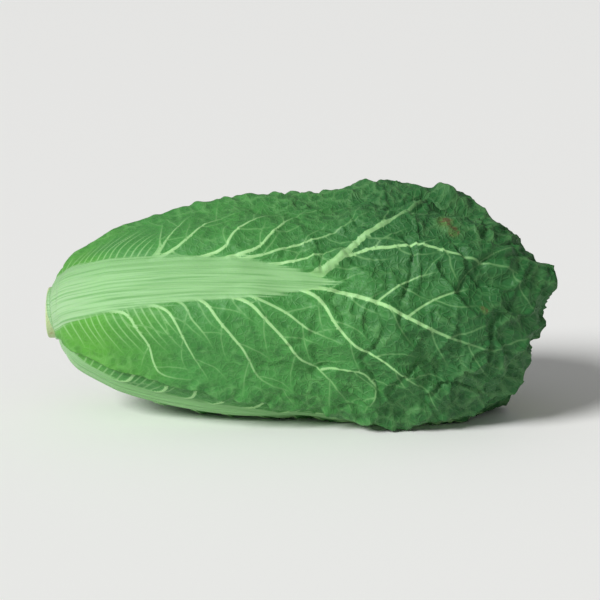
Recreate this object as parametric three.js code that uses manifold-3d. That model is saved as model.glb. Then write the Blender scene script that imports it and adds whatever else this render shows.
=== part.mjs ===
// Napa cabbage: one picked head, lying on its side.
// Millimetres. +Z is up, +X runs from the cut stem to the leafy top, and -Y is the side that shows best.
// A short stem carries everything. Packed inner leaves make the dense heart, and ten wrapper leaves
// grow round the stem in a spiral and lap over the heart and over one another. Each has a broad fleshy
// rib and a thin blade with a waved edge.

import * as THREE from "three";
import Module from "manifold-3d";

const { clamp, degToRad, lerp, smoothstep } = THREE.MathUtils;
const wasm = await Module();
wasm.setup();

// Heart: half of its lengthwise section, as [distance from its foot, radius].
const HEART_SECTION = [
  [0, 21],
  [0.5, 28],
  [14, 41],
  [60, 59],
  [130, 71],
  [200, 72.5],
  [260, 67],
  [306, 51],
  [331, 28],
  [338, 0],
];

// Stem
const STEM_RADIUS = 20.5;
const STEM_DEPTH = 92; // how far its point runs into the heart
const STEM_CUT_BEYOND = 3; // the cut end stands this far past the lowest leaf
const STEM_CUT_BEVEL = 1.6;
const FIT_GAP = 0.5; // between the stem and what grows round it

// Resting: the head is pressed flat this far below its middle line.
const REST_DEPTH = 81.5;
const REST_SOFTNESS = 2; // how gently the flat spot runs into the round side
const REST_PRESS = 0.6; // what the lowest faces lose to the flat spot
const REST_REACH = degToRad(80); // how far round from straight down it can be felt

// Spiral: three turns for every eight leaves, the outermost leaf facing -Y and up.
const HEART_LEAVES = 6;
const WRAPPER_LEAVES = 10;
const SPIRAL_STEP = degToRad(135);
const FRONT_ANGLE = degToRad(30);

// Blade: shares of a leaf's length, against shares of its greatest half width.
const BLADE_OUTLINE = [
  [0, 0.22],
  [0.05, 0.42],
  [0.15, 0.6],
  [0.32, 0.8],
  [0.5, 0.95],
  [0.62, 1],
  [0.74, 0.96],
  [0.85, 0.8],
  [0.93, 0.57],
  [0.98, 0.32],
  [1, 0.16],
];
const WRAPPER_HALF_WIDTH = 108;
const HEART_LEAF_HALF_WIDTH = 74;
const HALF_WIDTH_SPREAD = 4; // from leaf to leaf
const HALF_WIDTH_LOSS = 1.2; // for each leaf further in
const WRAPPER_REACH = 0.93; // share of the section's length that a wrapper leaf runs along
const HEART_LEAF_REACH = 0.98;
const REACH_SPREAD = 0.018;
const BLADE_THICKNESS = 1.2;
const LAYER_GAP = 0.8; // air between one leaf and the next
const LAYER_STEP = 0.9; // growth of the radius, leaf by leaf, at which the widths are laid out
const LEAST_LAYOUT_RADIUS = 12;

// Heart leaves: below their start they are one packed body.
const HEART_LEAF_START = 200;
const HEART_LEAF_RISE = 60; // they come out of it over this length
const ROOT_DEPTH = 3; // how deep their roots sit in it
const SUNK_START = 0.8; // and how far under its skin they begin

// Rib: distance along the leaf against half width, and against thickness on top of the blade.
const RIB_HALF_WIDTH = [
  [0, 26],
  [60, 19],
  [150, 14],
  [200, 8],
  [260, 5],
  [400, 3],
];
const RIB_THICKNESS = [
  [0, 3],
  [50, 5.5],
  [150, 4],
  [200, 2.4],
  [300, 1],
  [400, 0.4],
];
const RIB_DRIFT = degToRad(7); // a rib bends sideways by up to this between these distances
const RIB_DRIFT_START = 90;
const RIB_DRIFT_END = 330;

// Edge: waves that stand up from the head, and shallow notches in the outline.
const WAVE_HEIGHT = [
  [0, 0],
  [80, 0.5],
  [200, 1.6],
  [310, 4],
  [400, 4],
];
const WAVE_LENGTH = 48;
const WAVE_MEAN = 0.6; // shares of the wave height: its middle, and its swing to either side
const WAVE_SWING = 0.4;
const RIPPLE_LENGTH = 29;
const RIPPLE_SHARE = 0.25; // of a wave's swing
const RIPPLE_PHASE = 1.7;
const WAVE_BAND = 20; // the edge waves over this width
const ACROSS_SHARE = 0.8; // a step across the leaf counts for this much of a step along its edge
const FAR_SIDE_PHASE = 2.2;
const NOTCH_DEPTH = 3;
const NOTCH_LENGTH = 43;
const NOTCH_START = 60;
const NOTCH_FULL = 160;
const LOOSE_TIP = [
  [0, 0],
  [210, 0],
  [330, 1.2],
  [400, 2],
];
const LEAST_FREEDOM = 0.5; // share of waves and looseness in the innermost leaf, and in the outermost
const MOST_FREEDOM = 1.5;

// Room that a leaf leaves for itself under the next one.
const EDGE_ALLOWANCE = 9; // full height this far past its edge
const EDGE_SLOPE = 24; // the next leaf comes down off the edge over this width
const WAVE_ROOM_START = 34; // distances inside the edge where the waves' room begins and is full
const WAVE_ROOM_FULL = 18;
const RIB_ROOM_FULL = 0.3; // shares of the half width where the rib's room is full and runs out
const RIB_ROOM_END = 0.75;
const RIB_ROOM_EXTRA = 14;

// Lattice that every leaf shares, so that neighbours bend at the same lines and never cross.
const COLUMNS = 28;
const COLUMN_STEP = (2 * Math.PI) / COLUMNS;
const COLUMN_SNAP = 0.15; // a column this close to an edge, as a share of a step, moves onto it
const FOOT_ROW_STEP = 7; // rows: close together at the foot, wide on the body, closer where edges wave
const FOOT_ROW_GROWTH = 0.25;
const FOOT_ROW_END = 50;
const BODY_ROW_STEP = 21;
const BODY_ROW_END = 165;
const TOP_ROW_STEP = 12;
const POLE_CLEARANCE = 4;

// Colours
const LEAF_GREEN = new THREE.Color(0x4a8a46);
const HEART_GREEN = new THREE.Color(0xa9c46c);
const STEM_CREAM = new THREE.Color(0xdfe0bd);
const PALER_INSIDE = 0.4; // how far the innermost wrapper goes towards the heart's green
const LEAF_ROUGHNESS = 0.5;

const section = new THREE.SplineCurve(HEART_SECTION.map(([x, r]) => new THREE.Vector2(x, r)));
section.arcLengthDivisions = 800;
const SECTION_LENGTH = section.getLength();
const ROWS = latticeRows();
const leaves = spiralOfLeaves();

// Value at a place along a list of [place, value] stations.
function along(stations, place) {
  const next = stations.findIndex(([at]) => at >= place);
  if (next < 0) return stations[stations.length - 1][1];
  if (next === 0) return stations[0][1];
  const [at0, value0] = stations[next - 1];
  const [at1, value1] = stations[next];
  return lerp(value0, value1, (place - at0) / (at1 - at0));
}

function wrapAngle(angle) {
  return angle - 2 * Math.PI * Math.round(angle / (2 * Math.PI));
}

// Distances along the section at which every layer has a row of points.
function latticeRows() {
  const rows = [];
  let s = 0;
  while (s < SECTION_LENGTH - POLE_CLEARANCE) {
    rows.push(s);
    if (s < FOOT_ROW_END) s += FOOT_ROW_STEP + FOOT_ROW_GROWTH * s;
    else s += s < BODY_ROW_END ? BODY_ROW_STEP : TOP_ROW_STEP;
  }
  return rows;
}

// Value at an angle, read straight between the lattice's two nearest columns.
function onLattice(angle, valueAt) {
  const column = Math.floor(angle / COLUMN_STEP + 1e-6);
  const share = Math.max(angle / COLUMN_STEP - column, 0);
  const low = valueAt(column * COLUMN_STEP);
  return share < 1e-5 ? low : lerp(low, valueAt((column + 1) * COLUMN_STEP), share);
}

// Share of the radius that is left between two columns, where the facets run straight.
function facetShare(angle) {
  const fromMiddle = angle - (Math.floor(angle / COLUMN_STEP) + 0.5) * COLUMN_STEP;
  return Math.cos(COLUMN_STEP / 2) / Math.cos(fromMiddle);
}

// Foot of a point on the section, and the section's direction there.
function sectionAt(s) {
  const share = clamp(s / SECTION_LENGTH, 0, 1);
  return { foot: section.getPointAt(share), tangent: section.getTangentAt(share) };
}

// Leaves from the innermost of the heart to the outermost wrapper.
function spiralOfLeaves() {
  const count = HEART_LEAVES + WRAPPER_LEAVES;
  return Array.from({ length: count }, (_, index) => {
    const inHeart = index < HEART_LEAVES;
    const fromOutside = count - 1 - index;
    const outerShare = index / (count - 1);
    const vary = Math.sin(2.4 * fromOutside + 1.1);
    const reach = (inHeart ? HEART_LEAF_REACH : WRAPPER_REACH) + REACH_SPREAD * vary;
    const wrapperWidth = WRAPPER_HALF_WIDTH + HALF_WIDTH_SPREAD * vary - HALF_WIDTH_LOSS * fromOutside;
    return {
      index,
      inHeart,
      angle: FRONT_ANGLE + fromOutside * SPIRAL_STEP,
      drift: RIB_DRIFT * Math.sin(2.1 * fromOutside - 1.3),
      length: ROWS.findLast((s) => s <= reach * SECTION_LENGTH),
      halfWidth: inHeart ? HEART_LEAF_HALF_WIDTH : wrapperWidth,
      gap: inHeart ? 0 : LAYER_GAP,
      freedom: lerp(LEAST_FREEDOM, MOST_FREEDOM, outerShare * outerShare),
      phase: 1.9 * fromOutside,
    };
  });
}

// Half width of a blade, negative past the leaf's tip.
function bladeHalfWidth(leaf, s) {
  if (s > leaf.length) return leaf.length - s;
  const depth = NOTCH_DEPTH * smoothstep(s, NOTCH_START, NOTCH_FULL);
  const notch = depth * Math.sin((2 * Math.PI * s) / NOTCH_LENGTH + leaf.phase);
  return leaf.halfWidth * along(BLADE_OUTLINE, s / leaf.length) + notch;
}

// Radius at which a leaf's widths are laid out.
function layoutRadius(leaf, s) {
  const { foot, tangent } = sectionAt(s);
  return Math.max(foot.y + Math.max(tangent.x, 0) * LAYER_STEP * leaf.index, LEAST_LAYOUT_RADIUS);
}

function ribAngle(leaf, s) {
  return leaf.angle + leaf.drift * smoothstep(s, RIB_DRIFT_START, RIB_DRIFT_END);
}

function distanceFromRib(leaf, s, angle) {
  return Math.abs(wrapAngle(angle - ribAngle(leaf, s))) * layoutRadius(leaf, s);
}

function ribThickness(s, fromRib) {
  const share = clamp(fromRib / along(RIB_HALF_WIDTH, s), 0, 1);
  return along(RIB_THICKNESS, s) * (1 - share * share) ** 2;
}

function waveHeight(leaf, s) {
  return along(WAVE_HEIGHT, s) * leaf.freedom;
}

// Height of the edge's wave above the leaf's own bed.
function edgeWave(leaf, s, angle) {
  const fromRib = distanceFromRib(leaf, s, angle);
  const inside = bladeHalfWidth(leaf, s) - fromRib;
  const run = 2 * Math.PI * (s + ACROSS_SHARE * fromRib);
  const phase = leaf.phase + (wrapAngle(angle - ribAngle(leaf, s)) < 0 ? 0 : FAR_SIDE_PHASE);
  const wave = (1 - RIPPLE_SHARE) * Math.sin(run / WAVE_LENGTH + phase);
  const ripple = RIPPLE_SHARE * Math.sin(run / RIPPLE_LENGTH + RIPPLE_PHASE * phase);
  const share = WAVE_MEAN + WAVE_SWING * (wave + ripple);
  return waveHeight(leaf, s) * share * (1 - smoothstep(inside, 0, WAVE_BAND));
}

// Air under a leaf: its share of the gap between layers, and more where the tips stand loose.
function leafLift(leaf, s) {
  return leaf.gap / 2 + along(LOOSE_TIP, s) * leaf.freedom;
}

// Share by which a leaf stands out of what carries it: a heart leaf rises from the packed body.
function risenShare(leaf, s) {
  return leaf.inHeart ? smoothstep(s, HEART_LEAF_START, HEART_LEAF_START + HEART_LEAF_RISE) : 1;
}

// Height that a leaf takes up, so that the next one out clears it.
function leafRoom(leaf, s, angle) {
  const half = bladeHalfWidth(leaf, s);
  const fromRib = distanceFromRib(leaf, s, angle);
  const covered = 1 - smoothstep(fromRib - half - EDGE_ALLOWANCE, 0, EDGE_SLOPE);
  const nearEdge = smoothstep(fromRib - half, -WAVE_ROOM_START, -WAVE_ROOM_FULL);
  const pastRib = smoothstep(fromRib, RIB_ROOM_FULL * half, RIB_ROOM_END * half + RIB_ROOM_EXTRA);
  const rib = along(RIB_THICKNESS, s) * (1 - pastRib);
  const height = leafLift(leaf, s) + BLADE_THICKNESS + waveHeight(leaf, s) * nearEdge + rib + leaf.gap / 2;
  return covered * height * risenShare(leaf, s);
}

// Height of the bed that a leaf lies on: everything that grows inside it.
function bedHeight(leaf, s, angle) {
  let height = 0;
  for (const inner of leaves.slice(0, leaf.index)) height += leafRoom(inner, s, angle);
  return height;
}

// Heights of a leaf's inner and outer face above the heart.
function innerHeight(leaf, s, angle) {
  const bed = onLattice(angle, (column) => bedHeight(leaf, s, column));
  return bed + (leafLift(leaf, s) + edgeWave(leaf, s, angle)) * risenShare(leaf, s);
}

function outerHeight(leaf, s, angle) {
  const thickness = BLADE_THICKNESS + ribThickness(s, distanceFromRib(leaf, s, angle));
  return innerHeight(leaf, s, angle) + thickness * risenShare(leaf, s);
}

// Height of whatever lies outermost at a column, or reaches out towards the next one.
function coverHeight(s, angle) {
  const outermost = leaves.findLast((leaf) => {
    const overhang = COLUMN_STEP * layoutRadius(leaf, s);
    return distanceFromRib(leaf, s, angle) <= bladeHalfWidth(leaf, s) + overhang;
  });
  return outermost ? outerHeight(outermost, s, angle) : 0;
}

// How far the flat spot pushes every layer in towards the middle line, at one column.
function columnPush(s, angle) {
  const fromDown = Math.abs(wrapAngle(angle + Math.PI / 2));
  if (fromDown > REST_REACH) return 0;
  const { foot, tangent } = sectionAt(s);
  const outside = foot.y + tangent.x * coverHeight(s, angle);
  const excess = outside - (REST_DEPTH + REST_PRESS) / Math.cos(fromDown);
  return (excess + Math.hypot(excess, REST_SOFTNESS)) / 2;
}

function restPush(s, angle) {
  return onLattice(angle, (column) => columnPush(s, column));
}

// Point at a distance along the section, an angle round the head and a height off the heart.
function headPoint(s, angle, height) {
  const { foot, tangent } = sectionAt(s);
  const round = Math.max(foot.y + height * tangent.x - restPush(s, angle), 0);
  const radius = round * facetShare(angle);
  const x = foot.x - height * tangent.y;
  return new THREE.Vector3(x, -radius * Math.cos(angle), radius * Math.sin(angle));
}

// Angles of one row of a leaf: the lattice's columns, gathered onto the edges at both sides.
function rowAngles(leaf, s, first, last) {
  const halfAngle = bladeHalfWidth(leaf, s) / layoutRadius(leaf, s);
  const low = ribAngle(leaf, s) - halfAngle;
  const high = ribAngle(leaf, s) + halfAngle;
  const snap = COLUMN_SNAP * COLUMN_STEP;
  return Array.from({ length: last - first + 1 }, (_, i) => {
    const angle = (first + i) * COLUMN_STEP;
    if (angle < low + snap) return low;
    return angle > high - snap ? high : angle;
  });
}

// Grid of a leaf as merged vertices { s, angle } and the triangles of its outer face.
function leafGrid(leaf, start) {
  const rows = ROWS.filter((s) => s >= start && s <= leaf.length);
  const widest = Math.max(...rows.map((s) => bladeHalfWidth(leaf, s) / layoutRadius(leaf, s)));
  const reach = widest + Math.abs(leaf.drift);
  const first = Math.floor((leaf.angle - reach) / COLUMN_STEP);
  const last = Math.ceil((leaf.angle + reach) / COLUMN_STEP);
  const ids = new Map();
  const vertices = [];
  const idOf = rows.flatMap((s, row) =>
    rowAngles(leaf, s, first, last).map((angle) => {
      const key = `${row}:${angle.toFixed(6)}`;
      if (!ids.has(key)) {
        ids.set(key, vertices.length);
        vertices.push({ s, angle });
      }
      return ids.get(key);
    }),
  );
  const plane = new THREE.PlaneGeometry(1, 1, last - first, rows.length - 1);
  return { vertices, triangles: mergedFaces(plane.index.array, idOf) };
}

// Triangles of an index once some of its vertices are one and the same.
function mergedFaces(index, idOf) {
  const faces = [];
  for (let i = 0; i < index.length; i += 3) {
    const face = [idOf[index[i]], idOf[index[i + 1]], idOf[index[i + 2]]];
    if (new Set(face).size === 3) faces.push(face);
  }
  return faces;
}

// Closed blade: an outer face, the same triangles turned round as the inner face, and a rim.
function closedBlade(triangles, outer, inner) {
  const shift = outer.length;
  const edges = new Set(triangles.flatMap(([a, b, c]) => [`${a}:${b}`, `${b}:${c}`, `${c}:${a}`]));
  const faces = triangles.flatMap(([a, b, c]) => [
    [a, b, c],
    [c + shift, b + shift, a + shift],
  ]);
  for (const edge of edges) {
    const [p, q] = edge.split(":").map(Number);
    if (edges.has(`${q}:${p}`)) continue;
    faces.push([q, p, p + shift], [q, p + shift, q + shift]);
  }
  return { points: [...outer, ...inner], faces };
}

function solidOf({ points, faces }) {
  const vertProperties = new Float32Array(points.flatMap((p) => p.toArray()));
  const triVerts = new Uint32Array(faces.flat());
  return new wasm.Manifold(new wasm.Mesh({ numProp: 3, vertProperties, triVerts }));
}

function geometryOf({ points, faces }) {
  return new THREE.BufferGeometry().setFromPoints(points).setIndex(faces.flat());
}

function geometryOfSolid(solid) {
  const { vertProperties, triVerts } = solid.getMesh();
  return new THREE.BufferGeometry()
    .setAttribute("position", new THREE.BufferAttribute(vertProperties, 3))
    .setIndex(new THREE.BufferAttribute(triVerts, 1));
}

// What touches the ground is pressed flat on it.
function pressed(point) {
  point.z = Math.max(point.z, -REST_DEPTH);
  return point;
}

// Wrapper leaf, from the stem to its tip.
function wrapperLeaf(leaf) {
  const { vertices, triangles } = leafGrid(leaf, 0);
  const outer = vertices.map(({ s, angle }) => pressed(headPoint(s, angle, outerHeight(leaf, s, angle))));
  const inner = vertices.map(({ s, angle }) => headPoint(s, angle, innerHeight(leaf, s, angle)));
  return geometryOf(closedBlade(triangles, outer, inner));
}

// Tip of a heart leaf, its root sunk in the heart.
function heartLeafTip(leaf) {
  const { vertices, triangles } = leafGrid(leaf, HEART_LEAF_START);
  const outer = vertices.map(({ s, angle }) => headPoint(s, angle, outerHeight(leaf, s, angle) - SUNK_START));
  const inner = vertices.map(({ s, angle }) => headPoint(s, angle, -ROOT_DEPTH));
  return solidOf(closedBlade(triangles, outer, inner));
}

// Packed body of the heart, hollowed at its foot for the stem's point.
function heartBody() {
  const hollow = [
    new THREE.Vector2(0, STEM_DEPTH + 2 * FIT_GAP),
    new THREE.Vector2(STEM_RADIUS + FIT_GAP, 0),
  ];
  const rows = [...ROWS.slice(1), SECTION_LENGTH];
  const outside = rows.map((s) => {
    const { foot } = sectionAt(s);
    return new THREE.Vector2(foot.y, foot.x);
  });
  const profile = [...hollow, ...outside];
  const distances = [...hollow.map(() => 0), ...rows];
  const lathe = new THREE.LatheGeometry(profile, COLUMNS);
  const position = lathe.getAttribute("position");
  const points = [];
  for (let i = 0; i < position.count; i++) {
    const angle = Math.atan2(position.getX(i), position.getZ(i));
    const round = Math.hypot(position.getX(i), position.getZ(i));
    const radius = Math.max(round - restPush(distances[i % profile.length], angle), 0);
    points.push(new THREE.Vector3(position.getY(i), -radius * Math.cos(angle), radius * Math.sin(angle)));
  }
  return latheSolid(points, lathe.index.array);
}

// Solid from a lathe's vertices, with its seam and poles closed.
function latheSolid(points, index) {
  const ids = new Map();
  const kept = [];
  const idOf = points.map((point) => {
    const key = point.toArray().map((value) => Math.round(value * 1e4)).join(":");
    if (!ids.has(key)) {
      ids.set(key, kept.length);
      kept.push(point);
    }
    return ids.get(key);
  });
  const faces = mergedFaces(index, idOf);
  const solid = solidOf({ points: kept, faces });
  return solid.volume() > 0 ? solid : solidOf({ points: kept, faces: faces.map((face) => face.reverse()) });
}

function heart() {
  const tips = leaves.filter(({ inHeart }) => inHeart).map(heartLeafTip);
  return geometryOfSolid(tips.reduce((body, tip) => body.add(tip), heartBody()));
}

// Stem: a cut stub below the leaves, running to a point inside the heart.
function stem() {
  const cut = -(deepestFoot() + STEM_CUT_BEYOND);
  const profile = [
    new THREE.Vector2(0, cut),
    new THREE.Vector2(STEM_RADIUS - STEM_CUT_BEVEL, cut),
    new THREE.Vector2(STEM_RADIUS, cut + STEM_CUT_BEVEL),
    new THREE.Vector2(STEM_RADIUS, 0),
    new THREE.Vector2(0, STEM_DEPTH),
  ];
  return new THREE.LatheGeometry(profile, COLUMNS).rotateZ(-Math.PI / 2);
}

// How far the leaves' feet reach below the heart's, at most.
function deepestFoot() {
  const piles = Array.from({ length: COLUMNS }, (_, column) =>
    leaves.reduce((height, leaf) => height + leafRoom(leaf, 0, column * COLUMN_STEP), 0),
  );
  return Math.max(...piles);
}

function material(color) {
  return new THREE.MeshStandardMaterial({ color, roughness: LEAF_ROUGHNESS, metalness: 0 });
}

function named(name, geometry, color) {
  const mesh = new THREE.Mesh(geometry, material(color));
  mesh.name = name;
  return mesh;
}

const head = new THREE.Group();
head.add(named("stem", stem(), STEM_CREAM));
head.add(named("heart", heart(), HEART_GREEN));
for (const leaf of leaves.filter(({ inHeart }) => !inHeart)) {
  const fromOutside = leaves.length - 1 - leaf.index;
  const color = LEAF_GREEN.clone().lerp(HEART_GREEN, (PALER_INSIDE * fromOutside) / WRAPPER_LEAVES);
  const number = String(fromOutside + 1).padStart(2, "0");
  head.add(named(`wrapper_leaf_${number}`, wrapperLeaf(leaf), color));
}

// The origin is on the ground under the middle of the head.
const middle = new THREE.Box3().setFromObject(head).getCenter(new THREE.Vector3());
head.position.set(-middle.x, -middle.y, REST_DEPTH);

const part = new THREE.Group();
part.add(head);

export default part;
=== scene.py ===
"""Napa cabbage lying on its side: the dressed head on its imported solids, in metres and in their frame."""

import logging
import math
from collections.abc import Callable
from dataclasses import dataclass
from enum import Enum
from functools import cached_property

import bpy
import numpy as np
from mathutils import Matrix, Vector


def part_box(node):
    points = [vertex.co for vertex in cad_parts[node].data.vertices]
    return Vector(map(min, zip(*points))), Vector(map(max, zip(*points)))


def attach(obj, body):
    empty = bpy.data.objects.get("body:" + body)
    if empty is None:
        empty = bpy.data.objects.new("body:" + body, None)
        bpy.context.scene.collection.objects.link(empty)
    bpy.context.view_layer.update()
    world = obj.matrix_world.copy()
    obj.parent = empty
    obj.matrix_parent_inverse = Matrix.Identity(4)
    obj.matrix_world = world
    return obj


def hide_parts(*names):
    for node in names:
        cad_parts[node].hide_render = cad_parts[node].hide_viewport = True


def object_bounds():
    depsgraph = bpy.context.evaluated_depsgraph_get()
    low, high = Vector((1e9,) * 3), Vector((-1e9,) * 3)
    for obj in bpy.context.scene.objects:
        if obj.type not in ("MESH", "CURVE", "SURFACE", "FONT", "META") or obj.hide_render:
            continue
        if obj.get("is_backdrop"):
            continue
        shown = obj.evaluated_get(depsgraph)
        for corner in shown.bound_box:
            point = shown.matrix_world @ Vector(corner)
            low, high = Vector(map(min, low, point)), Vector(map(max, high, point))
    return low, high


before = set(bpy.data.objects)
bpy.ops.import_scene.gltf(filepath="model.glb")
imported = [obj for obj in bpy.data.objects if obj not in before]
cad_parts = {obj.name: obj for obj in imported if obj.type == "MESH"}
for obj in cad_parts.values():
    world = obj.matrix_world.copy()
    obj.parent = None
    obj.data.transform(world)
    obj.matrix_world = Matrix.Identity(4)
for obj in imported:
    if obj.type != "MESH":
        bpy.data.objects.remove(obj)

log = logging.getLogger("napa_cabbage")

MM = 0.001
TURN = 2.0 * math.pi
# Millimetres of the flat leaf in one unit of its map
MAP_UNIT = 100.0
# Sines of a ripple: the strength of each against the one before, and how fast its phase turns
WAVE_FALL = 0.6
WAVE_TURN = 1.7
# Sockets of the node that mixes colours: share, first and second colour, and the result
MIX_SHARE, MIX_FIRST, MIX_SECOND = 0, 6, 7
MIX_RESULT = 2

Array = np.ndarray
Span = tuple[float, float]
Stations = tuple[tuple[float, float], ...]
Ramp = tuple[float, float, float, float]
Socket = bpy.types.NodeSocket
Value = bpy.types.NodeSocket | float
Colour = bpy.types.NodeSocket | tuple[float, float, float, float]


class Grown(Enum):
    """Where a leaf grew: packed in the heart, or wrapped round it."""

    HEART = "heart"
    WRAPPER = "wrapper_leaf"


class VeinOrder(Enum):
    """Rank of a vein. Its value names the mask of the signed distances from the veins of that rank."""

    LATERAL = "lateral_side"
    FORK = "fork_side"
    FINE = "fine_side"


LEAF_MASKS = (
    "rib_gap", "vein_gap", "vein_half", "vein_strength", "pocket", "cell", "bruise", "along",
    *(order.value for order in VeinOrder),
)


def linear(hex_value: int) -> tuple[float, float, float, float]:
    """Turn an sRGB colour into linear light.

    Args:
        hex_value: the colour as 0xRRGGBB.

    Returns:
        Red, green, blue and an alpha of 1.
    """
    parts = [((hex_value >> shift) & 0xFF) / 255.0 for shift in (16, 8, 0)]
    red, green, blue = (c / 12.92 if c <= 0.04045 else ((c + 0.055) / 1.055) ** 2.4 for c in parts)
    return red, green, blue, 1.0


def at(stations: Stations, place: Array | float) -> Array | float:
    """Read a list of (place, value) stations at a place, straight between them."""
    places, values = zip(*stations)
    return np.interp(place, places, values)


def ease(value: Array | float, low: Array | float, high: Array | float) -> Array:
    """Smooth step from 0 at low to 1 at high."""
    share = np.clip((value - low) / (high - low), 0.0, 1.0)
    return share * share * (3.0 - 2.0 * share)


def nearest_turn(angle: Array) -> Array:
    """Wrap angles to half a turn either side of zero."""
    return angle - TURN * np.round(angle / TURN)


def catmull(knots: Array, share: Array) -> Array:
    """Point at a share of the Catmull-Rom curve through knots.

    Args:
        knots: the points that the curve goes through, one a row.
        share: shares of the whole curve, from 0 to 1.

    Returns:
        Points, one for each share.
    """
    last = len(knots) - 1
    place = np.clip(share, 0.0, 1.0) * last
    index = np.minimum(place.astype(int), last - 1)
    t = (place - index)[..., None]
    before, start = knots[np.maximum(index - 1, 0)], knots[index]
    end, after = knots[index + 1], knots[np.minimum(index + 2, last)]
    leave, arrive = (end - before) / 2.0, (after - start) / 2.0
    cubic = 2.0 * (start - end) + leave + arrive
    square = 3.0 * (end - start) - 2.0 * leave - arrive
    return ((cubic * t + square) * t + leave) * t + start


def waves(along: Array, lengths: tuple[float, ...], phase: float) -> Array:
    """Add up sines of unlike lengths into a ripple that never quite repeats.

    Args:
        along: distance along the edge, in millimetres.
        lengths: wave lengths in millimetres, the strongest first.
        phase: shifts the whole ripple.

    Returns:
        Heights between about -1 and 1.
    """
    total = np.zeros_like(along)
    weight = 0.0
    for order, length in enumerate(lengths):
        share = WAVE_FALL**order
        total = total + share * np.sin(TURN * along / length + (order + 1.0) * WAVE_TURN * phase)
        weight += share
    return total / weight


@dataclass(frozen=True)
class LeafPlan:
    """Where one leaf grows and how large it is, in millimetres and radians."""

    index: int
    grown: Grown
    angle: float
    drift: float
    length: float
    half_width: float
    gap: float
    freedom: float
    phase: float


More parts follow.
